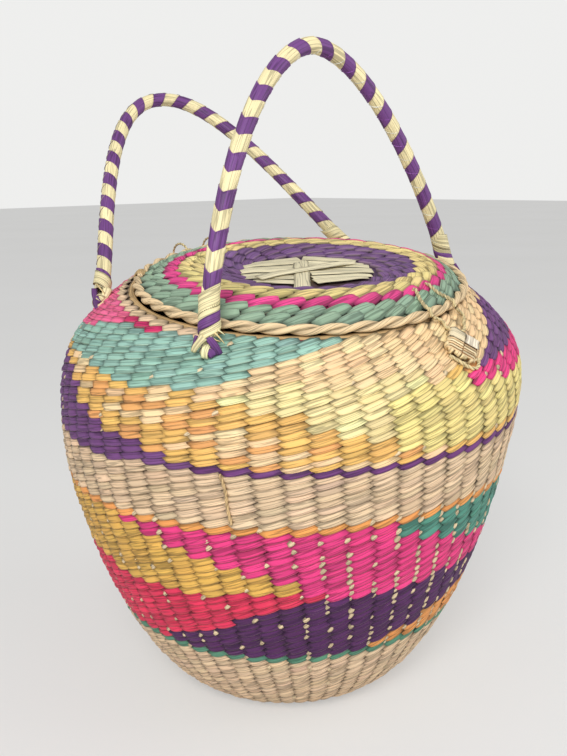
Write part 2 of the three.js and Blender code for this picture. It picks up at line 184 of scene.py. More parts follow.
floor_finish, shade, shader = new_material("studio_floor")
place = shade.node("TexCoord", out="Object")
cloud = shade.node("TexNoise", {"Vector": place, "Scale": 1.3, "Detail": 3.0})
colour = shade.node("ValToRGB", {0: cloud}, stops=[(0.3, (0.74, 0.735, 0.72)), (0.7, (0.79, 0.785, 0.775))])
feed(shade, shader, Base_Color=colour, Roughness=0.85)
glow = shade.node("Emission", {"Color": BACKDROP, "Strength": 1.0})
seen_share = shade.node("LightPath", out="Is Camera Ray") * 0.45
lit = Shade(shade.tree, shader.outputs[0])
mixed = shade.node("MixShader", {0: seen_share, 1: lit, 2: glow})
shade.tree.links.new(mixed.socket, shade.tree.nodes["Material Output"].inputs[0])
floor.data.materials.append(floor_finish)

# --------------------
# Latch loop. A bight of two-ply palm cord that is knotted to the lid and
# hangs on the wall, where it goes over the button. The pot's own form comes
# first, because the cord lies on it.
BELLY_HEIGHT, MOUTH_HEIGHT = 262.0, 338.0
FOOT_RADIUS, BELLY_RADIUS, MOUTH_RADIUS = 80, 191.5, 140
LEAN_START, LEAN_SLOPE, LEAN_WAY = 180.0, 0.155, math.radians(231)
MOUTH_DRIFT = 12.6


def pot_radius(height):
    """The pot's outside radius at a height, in millimetres, before it leans."""
    height = np.asarray(height, float)
    low = np.clip(height / BELLY_HEIGHT, 0, 1)
    swell = FOOT_RADIUS + (BELLY_RADIUS - FOOT_RADIUS) * np.power(1 - np.power(1 - low, 1.6), 0.6)
    high = np.clip((height - BELLY_HEIGHT) / (MOUTH_HEIGHT - BELLY_HEIGHT), 0, 1)
    shoulder = MOUTH_RADIUS + (BELLY_RADIUS - MOUTH_RADIUS) * np.power(1 - np.power(high, 2.7), 1.2)
    return np.where(height <= BELLY_HEIGHT, swell, shoulder)


def settle(points):
    """Moves points of the true pot to where they lie on the settled one."""
    points = np.array(points, float)
    rise = np.clip((points[..., 2] - LEAN_START) / (MOUTH_HEIGHT - LEAN_START), 0, 1)
    share = rise * rise * (3 - 2 * rise)
    downhill = points[..., 0] * math.cos(LEAN_WAY) + points[..., 1] * math.sin(LEAN_WAY)
    points[..., 2] -= LEAN_SLOPE * share * downhill
    points[..., 0] += MOUTH_DRIFT * share
    return points


def polar(radius, turn, height):
    """Points at a distance from an upright axis, a turn in radians and a height."""
    return np.stack(np.broadcast_arrays(radius * np.cos(turn), radius * np.sin(turn), height), -1)


def pot_point(angle, height):
    return settle(polar(pot_radius(height), np.radians(angle), height))


def unit(vectors):
    vectors = np.asarray(vectors, float)
    return vectors / np.linalg.norm(vectors, axis=-1, keepdims=True)


def wall_frame(angle, height):
    """A point of the wall, and the ways along the rows, up the slope and out."""
    along = unit(pot_point(angle + 0.5, height) - pot_point(angle - 0.5, height))
    slope = unit(pot_point(angle, height + 0.5) - pot_point(angle, height - 0.5))
    out = unit(np.cross(along, slope))
    return pot_point(angle, height), along, np.cross(out, along), out


def wall_point(angle, height, lift):
    point, _, _, out = wall_frame(angle, height)
    return point + out * lift


lid_up = unit([LEAN_SLOPE * math.cos(LEAN_WAY), LEAN_SLOPE * math.sin(LEAN_WAY), 1])
lid_along = unit(np.array([1, 0, 0]) - lid_up * lid_up[0])
lid_back = np.cross(lid_up, lid_along)
lid_middle = settle([2.5, -4.5, MOUTH_HEIGHT])


def on_lid(points):
    """Turns points of the lid's own frame into the basket's frame."""
    points = np.asarray(points, float)
    return lid_middle + points[..., :1] * lid_along + points[..., 1:2] * lid_back + points[..., 2:3] * lid_up


def gone_along(route):
    """How far each point of a route is from its start."""
    return np.concatenate([[0], np.cumsum(np.linalg.norm(np.diff(route, axis=0), axis=1))])


def on_line(start, end, at_start, at_end, t):
    """What lies at t on the straight line that is at start and end there."""
    return (at_end - t) / (at_end - at_start) * start + (t - at_start) / (at_end - at_start) * end


def smooth_route(points, spacing):
    """A smooth line through points, cut into even steps."""
    points = np.asarray(points, float)
    knots = np.concatenate([[0], np.cumsum(np.sqrt(np.linalg.norm(np.diff(points, axis=0), axis=1)))])
    ends = [2 * points[0] - points[1], *points, 2 * points[-1] - points[-2]]
    marks = [knots[0] - (knots[1] - knots[0]), *knots, knots[-1] + (knots[-1] - knots[-2])]
    line = []
    for k in range(len(points) - 1):
        p, m = ends[k:k + 4], marks[k:k + 4]
        for t in np.linspace(m[1], m[2], 24, endpoint=k == len(points) - 2):
            a, b, c = (on_line(p[i], p[i + 1], m[i], m[i + 1], t) for i in range(3))
            line.append(on_line(on_line(a, b, m[0], m[2], t), on_line(b, c, m[1], m[3], t), m[1], m[2], t))
    line = np.array(line)
    gone = gone_along(line)
    even = np.linspace(0, gone[-1], max(int(gone[-1] / spacing), 4) + 1)
    return np.stack([np.interp(even, gone, line[:, k]) for k in range(3)], -1)


def frames_along(route, closed=False):
    """Distance along a route, and two ways across it that don't twist."""
    step = np.roll(route, -1, 0) - np.roll(route, 1, 0) if closed else np.gradient(route, axis=0)
    ahead = unit(step)
    side = np.zeros_like(route)
    side[0] = unit(np.cross(ahead[0], [0.3, 0.2, 1.0]))
    for k in range(1, len(route)):
        side[k] = unit(side[k - 1] - ahead[k] * np.dot(side[k - 1], ahead[k]))
    return gone_along(route), side, np.cross(ahead, side)


def ways_out(turns, side, other):
    """The ways out of a route at turns round it."""
    return np.cos(turns)[..., None] * side[:, None] + np.sin(turns)[..., None] * other[:, None]


def net(points, along, across, dye, wrap=False, closed=False, caps=False, edge=0.5):
    """Quads over rows of points, with a strip map in millimetres and a dye."""
    rows, cols = points.shape[:2]
    i, j = np.meshgrid(np.arange(rows if closed else rows - 1), np.arange(cols if wrap else cols - 1), indexing="ij")
    i, j = i.ravel(), j.ravel()
    after, beside = (i + 1) % rows, (j + 1) % cols
    faces = np.stack([i * cols + j, i * cols + beside, after * cols + beside, after * cols + j], 1)
    flat = np.stack(np.broadcast_arrays(along, across), -1)
    strip = np.stack([flat[i, j], flat[i, j + 1], flat[i + 1, j + 1], flat[i + 1, j]], 1)
    corners, counts = [faces.ravel()], [np.full(len(faces), 4)]
    strips = [strip.reshape(-1, 2)]
    if caps:
        corners += [np.arange(cols)[::-1], (rows - 1) * cols + np.arange(cols)]
        counts += [[cols], [cols]]
        strips += [flat[0, :cols][::-1], flat[rows - 1, :cols]]
    colours = np.broadcast_to(dye, (rows, cols, 3)).reshape(-1, 3)
    edges = np.broadcast_to(edge, (rows, cols)).ravel()
    corners, counts, strips = (np.concatenate(lists) for lists in (corners, counts, strips))
    return points.reshape(-1, 3), corners, counts, strips, colours, edges


def gather(name, nets, material, body, slot, *nodes):
    """One piece from several nets, laid in millimetres and kept in metres."""
    starts = np.cumsum([0] + [len(n[0]) for n in nets[:-1]])
    corners = np.concatenate([n[1] + start for n, start in zip(nets, starts)])
    points, counts, strips, colours, edges = (np.concatenate([n[k] for n in nets]) for k in (0, 2, 3, 4, 5))
    mesh = bpy.data.meshes.new(name)
    mesh.vertices.add(len(points))
    mesh.vertices.foreach_set("co", (points / 1000).astype(np.float32).ravel())
    mesh.loops.add(len(corners))
    mesh.loops.foreach_set("vertex_index", corners.astype(np.int32))
    mesh.polygons.add(len(counts))
    mesh.polygons.foreach_set("loop_start", (np.cumsum(counts) - counts).astype(np.int32))
    mesh.polygons.foreach_set("loop_total", np.asarray(counts, np.int32))
    mesh.update(calc_edges=True)
    mesh.validate()
    strip_map = mesh.uv_layers.new(name="strip")
    strip_map.data.foreach_set("uv", strips.astype(np.float32).ravel())
    dye = mesh.attributes.new("dye", "FLOAT_COLOR", "POINT")
    dye.data.foreach_set("color", np.concatenate([colours, edges[:, None]], 1).astype(np.float32).ravel())
    mesh.polygons.foreach_set("use_smooth", np.ones(len(counts), bool))
    mesh.materials.append(material)
    made = bpy.data.objects.new(name, mesh)
    scene.collection.objects.link(made)
    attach(made, body)
    if nodes:
        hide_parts(*nodes)
    return made


def two_ply(route, diameter, lay_length, dye, seed, closed=False, sides=16, waist=0.5):
    """Two strands laid round each other as one cord, with its fibres along the lay."""
    gone, side, other = frames_along(route, closed)
    total = gone[-1] + (np.linalg.norm(route[0] - route[-1]) if closed else 0)
    turns = max(round(total / lay_length), 1) if closed else total / lay_length
    slack = math.atan2(np.dot(side[-1], other[0]), np.dot(side[-1], side[0])) if closed else 0.0
    twist = 2 * np.pi * turns * gone / total
    around = np.arange(sides) * 2 * np.pi / sides
    lobe = np.abs(np.cos(around))
    radius = diameter / 2 * (waist + (1 - waist) * lobe ** 0.8)
    rng = np.random.default_rng(seed)
    uneven = 1 + 0.05 * np.interp(gone, np.linspace(0, gone[-1], 14), rng.uniform(-1, 1, 14))
    face = twist[:, None] + around - (slack * gone / total)[:, None]
    points = route[:, None] + radius[:, None] * uneven[:, None, None] * ways_out(face, side, other)
    long = (np.append(gone, total) if closed else gone)[:, None] + rng.uniform(0, 500)
    wide = np.arange(sides + 1) * diameter * 3.1 / sides
    # Painted shade: each strand is darkened towards the groove where it meets the other.
    tone_and_painted_shade = np.array(dye) * (1 - 0.35 * (1 - lobe[:, None]))
    return net(points, long, wide, tone_and_painted_shade, wrap=True, closed=closed, caps=not closed)


def palm_finish(name, gloss, fibre, pale):
    """Split palm leaf: its dye, fine fibres along the strip, painted shade in the creases of its folds, pale edges and
    a soft shine.
    """
    material, shade, shader = new_material(name)
    strip = shade.node("UVMap", uv_map="strip")
    # The dye attribute holds each piece's colour, with any painted shade that was multiplied into it as it was laid.
    dye = shade.node("Attribute", attribute_name="dye")
    edge = Shade(shade.tree, dye.socket.node.outputs["Alpha"])
    fine = shade.node("Mapping", {"Vector": strip, "Scale": (0.03, 1.5, 1)})
    fibres = shade.node("TexNoise", {"Vector": fine, "Scale": 1.0, "Detail": 3.0, "Roughness": 0.6})
    broad = shade.node("Mapping", {"Vector": strip, "Scale": (0.014, 0.3, 1)})
    folds = shade.node("TexNoise", {"Vector": broad, "Scale": 1.0, "Detail": 1.0})
    blotch = shade.node("TexNoise", {"Vector": shade.node("TexCoord", out="Object"), "Scale": 60.0, "Detail": 2.0})
    crease = 1 - ((folds - 0.5) * (folds - 0.5) * 400).between(0.0, 0.9)
    # The strip's tone varies with its fibres, folds and blotches, and its fold creases are darkened as painted shade.
    grain_and_painted_crease_shade = (0.58 + 0.50 * fibres + 0.26 * folds + 0.10 * blotch) * (1 - 0.42 * crease)
    grey = shade.node("CombineColor", {0: grain_and_painted_crease_shade, 1: grain_and_painted_crease_shade, 2: grain_and_painted_crease_shade})
    colour = dye.blend(1.0, grey, "MULTIPLY")
    streak = fibres.between(0.60, 0.78) * pale
    colour = colour.blend(streak, (*paint(236, 214, 172), 1))
    lip = (1 - edge.between(0.0, 0.10)) * 0.14
    colour = colour.blend(lip, (*paint(240, 222, 186), 1))
    rough = 0.62 - 0.25 * gloss + 0.22 * fibres
    height = 0.5 * fibres + 1.3 * folds - 0.35 * crease
    bump = shade.node("Bump", {"Height": height, "Strength": 0.7, "Distance": fibre})
    feed(shade, shader, Base_Color=colour, Roughness=rough, Normal=bump, Specular_IOR_Level=0.35)
    return material


CORD_DYE = paint(236, 216, 165)
cord_finish = palm_finish("twisted_palm_cord", 0.2, 0.0006, 0.25)

CORD = 3.0
CORD_LAY = 9.0
BUTTON_HALF = 12
BUTTON_PLACE = (272.5, 318)
ROPE_HEIGHT = 4.3
BEAD_RING = 142.1
latch_lift = CORD / 2 + 0.6
latch_reach = BUTTON_HALF + 2 * CORD
seat, seat_along, seat_up, seat_out = wall_frame(*BUTTON_PLACE)


def bead(angle):
    """Where the loop hangs from the outside of the lid's rope."""
    return on_lid(polar(BEAD_RING, math.radians(angle), ROPE_HEIGHT))


def beside(along, rise):
    """A point of the cord on the wall, counted from the button's middle."""
    return seat + seat_along * along + seat_up * rise + seat_out * latch_lift


loop_points = [
    bead(-92),
    wall_point(273.5, 333, latch_lift + 1.5),
    beside(4, latch_reach + 4),
    beside(7, latch_reach - 1),
    beside(13, latch_reach - 4.5),
    beside(20, latch_reach - 4),
    beside(26, latch_reach + 1.5),
    wall_point(284.5, 331, latch_lift + 1.5),
    bead(-79),
]
loop_points[0] = loop_points[0] + unit(loop_points[1] - loop_points[0]) * latch_lift
loop_points[-1] = loop_points[-1] + unit(loop_points[-2] - loop_points[-1]) * latch_lift
loop_route = smooth_route(loop_points, 0.8)
loop_nets = [two_ply(loop_route, CORD, CORD_LAY, CORD_DYE, 3)]
latch_loop = gather("latch_loop_cord", loop_nets, cord_finish, "loop", "palm_cord", "latch_loop")

# --------------------
# One stitch of the weave. The basket is twined from split palm leaf: each
# strip comes up from under its neighbour, rises over a stake and dives again,
# so every stitch is a slanted strip with its lower edge standing proud.


def model_stitch(name, long, tall):
    """A flat strip of one by one, its lower and left edges folded down."""
    bpy.ops.object.select_all(action="DESELECT")
    bpy.ops.mesh.primitive_grid_add(x_subdivisions=long, y_subdivisions=tall, size=1, location=(0.5, 0.5, 0))
    made = bpy.context.object
    made.name = name
    bpy.ops.object.transform_apply(location=True)
    bpy.ops.object.mode_set(mode="EDIT")
    bpy.ops.mesh.select_mode(type="EDGE")
    for axis in (1, 0):
        bpy.ops.mesh.select_all(action="DESELECT")
        shape = bmesh.from_edit_mesh(made.data)
        for edge in shape.edges:
            edge.select = all(abs(v.co[axis]) < 1e-4 and abs(v.co.z) < 1e-4 for v in edge.verts)
        shape.select_flush_mode()
        bmesh.update_edit_mesh(made.data)
        bpy.ops.mesh.extrude_edges_move(TRANSFORM_OT_translate={"value": (0, 0, -1)})
    bpy.ops.object.mode_set(mode="OBJECT")
    places = np.array([v.co[:] for v in made.data.vertices])
    faces = np.array([f.vertices[:] for f in made.data.polygons])
    bpy.data.objects.remove(made)
    # Points and faces in a set order, because the extrusion's own order changes from run to run.
    order = np.lexsort(places.round(4).T)
    faces = np.argsort(order)[faces]
    return places[order], faces[np.lexsort(faces.T)]


def shape_stitch(places, notch, low, high, rise, sag):
    """Turns the flat strip into the slanted one, in columns, rows and millimetres."""
    u, v, w = np.clip(places[:, 0], 0, 1), np.clip(places[:, 1], 0, 1), places[:, 2]
    x = (notch + (1.28 - notch) * u) * (1 - v) + 1.10 * u * v - 0.02 * np.sin(np.pi * v) * (1 - u)
    bottom = low + rise * u - sag * np.sin(np.pi * u ** 0.8)
    top = high + 0.2 * np.clip(u / 0.35, 0, 1) + (rise + 0.07) * u
    y = bottom * (1 - v) + top * v
    over = np.interp(u, [0, 0.17, 0.33, 0.5, 0.67, 0.83, 1], [1.45, 1.85, 1.95, 1.8, 1.45, 0.95, 0.3])
    across = np.interp(v, [0, 0.17, 0.33, 0.5, 0.67, 0.83, 1], [0.0, 0.25, 0.2, 0.0, -0.3, -0.8, -1.7])
    across = across * np.interp(u, [0, 0.17, 0.34], [0.25, 0.7, 1.0])
    fold = w < -0.5
    x = np.where(fold & (u < 0.1), x + 0.03, x)
    y = np.where(fold & (v < 0.1), y + 0.06, y)
    return np.stack([x, y, np.where(fold, -1.2, over + across)], 1)


full_strip = model_stitch("stitch", 6, 6)
small_strip = model_stitch("small_stitch", 4, 2)
wall_stitch = (*full_strip, shape_stitch(full_strip[0], 0.29, -0.46, 0.3, 1.08, 0.1))
lid_stitch = (*full_strip, shape_stitch(full_strip[0], 0.26, -0.6, 0.18, 0.84, 0.08))
small_stitch = (*small_strip, shape_stitch(small_strip[0], 0.29, -0.46, 0.3, 1.08, 0.1))


def lay(stitch, cells, surface, dyes, seed, swell=1.0):
    """Copies a stitch into cells of column start, row, column width and row height."""
    flat, faces, shape = stitch
    u, v, w = flat.T
    across, up, high = shape.T
    rng = np.random.default_rng(seed)
    count = len(cells)
    column, row, width, tall = cells.T[:, :, None]
    slide, lift, bulge, stretch, lean, ripple, shift = rng.uniform(-1, 1, (count, 7)).T[:, :, None]
    x = column + width * (across * (1 + 0.03 * stretch) + 0.035 * slide)
    y = row + tall * (up * (1 + 0.05 * stretch) + 0.07 * lift + 0.10 * lean * (across - 0.5))
    inner = np.clip(v * 6, 0, 1) * (w > -0.5)
    depth = swell * high * (1 + 0.12 * bulge) + 0.18 * bulge
    depth = depth + inner * 0.28 * ripple * np.sin(2 * np.pi * (1.4 * v + shift))
    points = surface(x, y, depth)
    corners = (faces + (np.arange(count) * len(flat))[:, None, None]).reshape(-1)
    counts = np.full(count * len(faces), faces.shape[1])
    strip = rng.uniform(0, 900, (count, 1, 2)) + np.stack([u * 22, v * 8], 1)
    strips = strip.reshape(-1, 2)[corners]
    # Painted shade: each stitch is darkened towards its right end and its top edge, where it dives under its
    # neighbours. Its folded edges are darkened most, as dark shadow lines between the stitches.
    painted_shade = np.maximum(np.interp(u + 0.25 * v, [0.85, 1.08], [0, 1]), np.interp(v, [0.62, 0.95], [0, 1]))
    painted_shade = np.where(w < -0.5, 0.85, 0.75 * painted_shade)
    dyes_with_painted_shade = (dyes[:, None, :] * (1 - painted_shade)[:, None]).reshape(-1, 3)
    return points.reshape(-1, 3), corners, counts, strips, dyes_with_painted_shade, np.tile(np.clip(v, 0, 1), count)


# --------------------
# Pot wall. Sixty-odd rows of stitches go round the pot, in dyed and natural
# palm that the weaver changed from patch to patch. The same stitches show on
# the inside, darkened a little as painted shade, and a layer of straw stakes,
# darkened further as painted shade, lies between the two faces.
COLUMNS = 60
ROW = 5.9
heights = np.linspace(0, MOUTH_HEIGHT, 4000)
radii = pot_radius(heights)
arc = np.concatenate([[0], np.cumsum(np.hypot(np.diff(heights), np.diff(radii)))])
slope_up = np.gradient(heights, arc)
slope_out = np.gradient(radii, arc)


def wall_surface(angle, along, depth):
    """The wall at an angle and a distance up its profile, stood off by a depth."""
    height, radius, rise, spread = (np.interp(along, arc, line) for line in (heights, radii, slope_up, slope_out))
    points = settle(polar(radius + depth * rise, np.radians(angle), height - depth * spread))
    points[..., 2] = np.maximum(points[..., 2], 0.15)
    return points


NATURAL = paint(230, 200, 164)
GOLD = paint(238, 188, 106)
ORANGE = paint(236, 160, 88)
AMBER = paint(236, 170, 104)
TEAL = paint(152, 194, 178)
DEEP_TEAL = paint(84, 148, 130)
SALMON = paint(250, 106, 152)
HOT_PINK = paint(234, 62, 132)
RED_PINK = paint(230, 54, 92)
DARK_PURPLE = paint(84, 37, 92)
PURPLE = paint(118, 72, 128)
GREEN = paint(92, 150, 122)
YELLOW = paint(226, 178, 88)
LIME = paint(240, 220, 142)
CREAM = paint(248, 226, 164)
PEACH = paint(250, 212, 162)
MAGENTA = paint(214, 44, 106)
ROW_DYE = paint(108, 56, 116)

# Patches of dye, painted in this order, as corners of angle and height.
PATCHES = [
    (RED_PINK, [(-60, 80), (320, 80), (320, 195), (-60, 195)]),
    (HOT_PINK, [(176, 200), (183, 185), (190, 182), (197, 171), (204, 168), (212, 160), (218, 152), (225, 146),
                (231, 142), (236, 134), (260, 134), (290, 131), (320, 124), (350, 112), (372, 100), (385, 120),
                (385, 200), (176, 200)]),
    (DARK_PURPLE, [(188, 79), (191, 86), (200, 94), (207, 105), (214, 113), (222, 121), (227, 128), (231, 131),
                   (237, 135), (252, 134), (267, 136), (288, 132), (311, 127), (340, 118), (372, 100), (395, 80)]),
    (ORANGE, [(250, 79), (255, 88), (264, 91), (270, 98), (277, 101), (281, 106), (292, 108), (320, 112),
              (350, 108), (372, 96), (388, 79)]),
    (YELLOW, [(-10, 150), (30, 156), (60, 170), (90, 186), (100, 200), (176, 200), (183, 185), (190, 182), (197, 171),
              (204, 171), (212, 163), (218, 154), (225, 147), (231, 143), (223, 138), (210, 135), (199, 133),
              (187, 132), (178, 134), (170, 138), (141, 138), (100, 141), (60, 148), (30, 152)]),
    (DEEP_TEAL, [(245, 198), (248, 186), (253, 180), (257, 173), (265, 167), (272, 162), (281, 155), (295, 147),
                 (311, 141), (340, 140), (380, 150), (420, 168), (450, 184), (458, 198)]),
    (GOLD, [(-60, 250), (320, 250), (320, 345), (-60, 345)]),
    (PEACH, [(205, 345), (330, 345), (326, 323), (309, 326), (304, 325), (297, 323), (294, 319), (288, 316), (283, 314),
             (275, 309), (257, 305), (240, 302), (227, 303), (212, 300), (205, 298), (203, 305)]),
    (CREAM, [(206, 303), (213, 308), (218, 310), (222, 313), (226, 312), (231, 310), (239, 310), (243, 312),
             (247, 314), (251, 311), (258, 313), (258, 300), (250, 275), (247, 273), (242, 269), (238, 276),
             (233, 279), (227, 290), (222, 294), (214, 298), (208, 301)]),
    (LIME, [(252, 252), (246, 270), (243, 290), (250, 302), (263, 307), (280, 300), (300, 304), (330, 306), (352, 290),
            (345, 268), (330, 252)]),
    (TEAL, [(45, 345), (60, 324), (80, 311), (110, 300), (145, 295), (157, 298), (169, 300), (177, 301),
            (183, 300), (190, 302), (196, 304), (202, 306.5), (207, 308.5), (212, 314), (216, 319), (223, 326),
            (227, 328), (235, 332), (240, 336), (246, 345)]),
    (SALMON, [(60, 345), (80, 318), (110, 302), (138, 303), (156, 319), (166, 326), (174, 331), (181, 334), (189, 337),
              (197, 340), (200, 345)]),
    (PURPLE, [(86, 250), (100, 262), (120, 276), (141, 288), (157, 291), (162, 284), (171, 274), (179, 266),
              (186, 260), (194, 255), (206, 249), (206, 241), (163, 238), (141, 238), (110, 244)]),
    (PURPLE, [(270, 308), (275, 309.5), (281, 312), (284, 315), (289, 316), (294, 319), (297, 323), (304, 325),
              (308, 327), (323, 324), (330, 345), (350, 345), (354, 326), (335, 312), (307, 302), (294, 305),
              (289, 304), (283, 305), (275, 305)]),
    (HOT_PINK, [(268, 300), (270, 306), (275, 305.5), (281, 308), (283, 305.5), (289, 304.5), (294, 305.5), (307, 302),
                (335, 312), (348, 306), (330, 288), (294, 288), (280, 292)]),
]
# The patch of mixed golds, and the one that crosses the purple row, counted from 1.
GOLD_PATCH, CROSSING_PATCH = 7, 13


def inside(angle, height, corners):
    """Which points lie inside a patch."""
    found = np.zeros(angle.shape, bool)
    for turn in (-360, 0, 360):
        corner = np.array(corners, float) + [turn, 0]
        hit = np.zeros(angle.shape, bool)
        for (x0, y0), (x1, y1) in zip(corner, np.roll(corner, -1, 0)):
            if y0 == y1:
                continue
            crosses = (y0 > height) != (y1 > height)
            hit ^= crosses & (angle < x0 + (height - y0) * (x1 - x0) / (y1 - y0))
        found |= hit
    return found


def row_at(height):
    return int(round(np.interp(height, heights, arc) / ROW - 0.5))


GREEN_ROW, MIDDLE_ROW, ORANGE_ROW, PURPLE_ROW, EDGE_ROW = (row_at(height) for height in (76, 140, 195, 246, 331))


def dyes_of(angle, height, row, seed):
    """The dye of each stitch, a little different from its neighbours."""
    rng = np.random.default_rng(seed)
    angle = np.mod(angle + 60, 360) - 60
    dyes = np.tile(np.array(NATURAL), (len(angle), 1))
    zone = np.zeros(len(angle), int)
    for number, (dye, corners) in enumerate(PATCHES, 1):
        held = inside(angle, height, corners)
        dyes[held] = dye
        zone[held] = number
    gold = zone == GOLD_PATCH
    wave = 0.5 + 0.25 * np.sin(np.radians(angle) * 5 + height / 9)
    draw = np.clip(wave + rng.uniform(-0.5, 0.5, len(angle)), 0, 0.999)
    dyes[gold] = np.array([PEACH, GOLD, AMBER, GOLD])[(draw * 4).astype(int)][gold]
    dyes[(row > ORANGE_ROW) & (row < PURPLE_ROW) & (zone != CROSSING_PATCH)] = NATURAL
    dyes[row < GREEN_ROW] = NATURAL
    dyes[row == GREEN_ROW] = GREEN
    dyes[(row == PURPLE_ROW) & (zone != CROSSING_PATCH)] = ROW_DYE
    dyes[row == ORANGE_ROW] = ORANGE
    dyes[(height > 333) & (angle > 120) & (angle < 200)] = NATURAL
    dyes[(height > 335.5) & (angle >= 200) & (angle < 230)] = MAGENTA
    dyes[(height > 328) & (height <= 333) & (angle > 166) & (angle < 186)] = MAGENTA
    tone = 1 + rng.normal(0, 0.08, (len(angle), 1)) + rng.normal(0, 0.015, (len(angle), 3))
    return np.clip(dyes * tone, 0.004, 0.95)


# A column's angle at the purple row, and how far the columns turn for each millimetre below it.
FIRST_COLUMN, COLUMN_TURN = 211, 9 / 190
wall_rng = np.random.default_rng(11)
column_wander = np.cumsum(wall_rng.normal(0, 0.25, COLUMNS))
column_wander -= np.linspace(0, column_wander[-1], COLUMNS)
rows = np.arange(1, int(arc[-1] / ROW))


def wall_cells(rows, way=1):
    """Where each stitch of some rows goes, and its angle, height and row."""
    row, column = (side.ravel() for side in np.meshgrid(rows, np.arange(COLUMNS), indexing="ij"))
    middle = (row + 0.5) * ROW
    height = np.interp(middle, arc, heights)
    turn = COLUMN_TURN * (246 - height)
    width = 360 / COLUMNS
    angle = FIRST_COLUMN + column * width + turn + 0.8 * column_wander[column] * np.minimum(1, height / 120)
    sway = 0.9 * np.sin(np.radians(angle) * 3 + row * 0.35) * np.minimum(1, row / 8)
    cells = np.stack(np.broadcast_arrays(angle, middle + sway, way * width, ROW), 1)
    return cells, angle, height, row


wall_finish = palm_finish("woven_wall_palm", 0.5, 0.0007, 0.22)
for name, part, nodes in (
    ("wall_weave_lower", rows[rows <= MIDDLE_ROW], ("wall_foot_course", "wall_lower_course")),
    ("wall_weave_middle", rows[(rows > MIDDLE_ROW) & (rows <= PURPLE_ROW)], ("wall_waist_course",)),
    ("wall_weave_upper", rows[(rows > PURPLE_ROW) & (rows < EDGE_ROW)], ("wall_shoulder_course",)),
    ("mouth_row", rows[rows >= EDGE_ROW], ("mouth_rim",)),
):
    cells, angle, height, row = wall_cells(part)
    dyes = dyes_of(angle + 180 / COLUMNS, height, row, 21 + len(part))
    laid = lay(wall_stitch, cells, wall_surface, dyes, 31 + len(part))
    # Undyed ends of the strips behind show as small chips where two stitches meet.
    chips = np.random.default_rng(51 + len(part))
    natural = np.abs(dyes - np.array(NATURAL)).sum(1) < 0.25
    share = np.where(height < 195, np.where(np.mod(angle, 360) > 226, 0.62, 0.2), 0.07)
    shown = (chips.uniform(size=len(cells)) < share) & ~natural
    bits = cells[shown] * [1, 1, 0.3, 0.62]
    bits[:, 0] += chips.uniform(-0.14, -0.04, len(bits)) * cells[shown][:, 2]
    bits[:, 1] += chips.uniform(0.38, 0.56, len(bits)) * ROW
    pale = np.clip(np.array(paint(236, 212, 172)) * chips.normal(0.95, 0.08, (len(bits), 1)), 0, 0.95)
    chip = lay(small_stitch, bits, wall_surface, pale, 61 + len(part))
    gather(name, [laid, chip], wall_finish, "pot", "dyed_palm", *nodes)


def inner_surface(angle, along, depth):
    return wall_surface(angle, along, -5.6 - 0.7 * depth)


cells, angle, height, row = wall_cells(rows[rows > 1], way=-1)
# Painted shade: the inside's stitches are painted at 0.8 of the outside's dye.
inner_dyes_with_painted_shade = dyes_of(angle - 180 / COLUMNS, height, row, 41) * 0.8
inner_net = lay(small_stitch, cells, inner_surface, inner_dyes_with_painted_shade, 43)
gather("wall_weave_inside", [inner_net], wall_finish, "pot", "dyed_palm")

# The straw is in the dye that lies over it, darkened to about a third as painted shade in the gaps between the
# stitches.
STRAW_LEVELS, STRAW_TURNS = 92, 144
up_rows = np.linspace(2, arc[-1] - 1, STRAW_LEVELS)
straw_rows = np.concatenate([up_rows, up_rows[::-1]])
turns, steps = np.meshgrid(np.arange(STRAW_TURNS) * 360 / STRAW_TURNS, straw_rows)
high = np.interp(steps, arc, heights)
straw_dyes = dyes_of(turns.ravel(), high.ravel(), (steps / ROW).astype(int).ravel(), 44)
straw = net(
    wall_surface(turns, steps, np.repeat([-1.6, -5.2], STRAW_LEVELS)[:, None]), np.arange(STRAW_TURNS + 1) * 8.0,
    np.append(straw_rows, up_rows[0])[:, None], straw_dyes.reshape(*turns.shape, 3) * 0.35, wrap=True, closed=True,
)
gather("wall_straw_painted_shade_layer", [straw], wall_finish, "pot", "natural_palm")

# --------------------
# Base. A flat disc twined from the middle outwards in natural palm, from
# which the stakes turn up into the wall.


def disc_under(angle, radius, depth):
    return polar(radius, np.radians(angle), 2.1 - np.minimum(depth, 2.0))


def disc_over(angle, radius, depth):
    return polar(radius, np.radians(angle), 6.0 + 0.6 * depth)


base_rings = np.arange(6.0, 80, ROW)
base_nets = []
for surface, way, seed in ((disc_under, 1, 51), (disc_over, -1, 52)):
    cells = []
    for number, radius in enumerate(base_rings):
        count = max(6, int(54 * min(1, radius / 60)))
        cells += [(k * 360 / count + number * 3.1, radius, way * 360 / count, ROW) for k in range(count)]
    tone = np.random.default_rng(seed).normal(1, 0.08, (len(cells), 1))
    base_nets.append(lay(small_stitch, np.array(cells), surface, np.array(NATURAL) * tone, seed))
gather("base_weave", base_nets, wall_finish, "pot", "natural_palm", "base_panel")
# The straw between the base's two faces is a darker brown than its stitches, as painted shade in the gaps between them.
reach = np.array([0.2, 30, 60, 84, 84, 60, 30, 0.2])[:, None]
disc = polar(reach, -np.radians(np.arange(0, 360, 7.5)), np.repeat([1.6, 5.6], 4)[:, None])
base_straw = net(disc, np.arange(49) * 8.0, reach, paint(170, 136, 92), wrap=True, caps=True)
gather("base_straw_painted_shade_layer", [base_straw], wall_finish, "pot", "natural_palm")

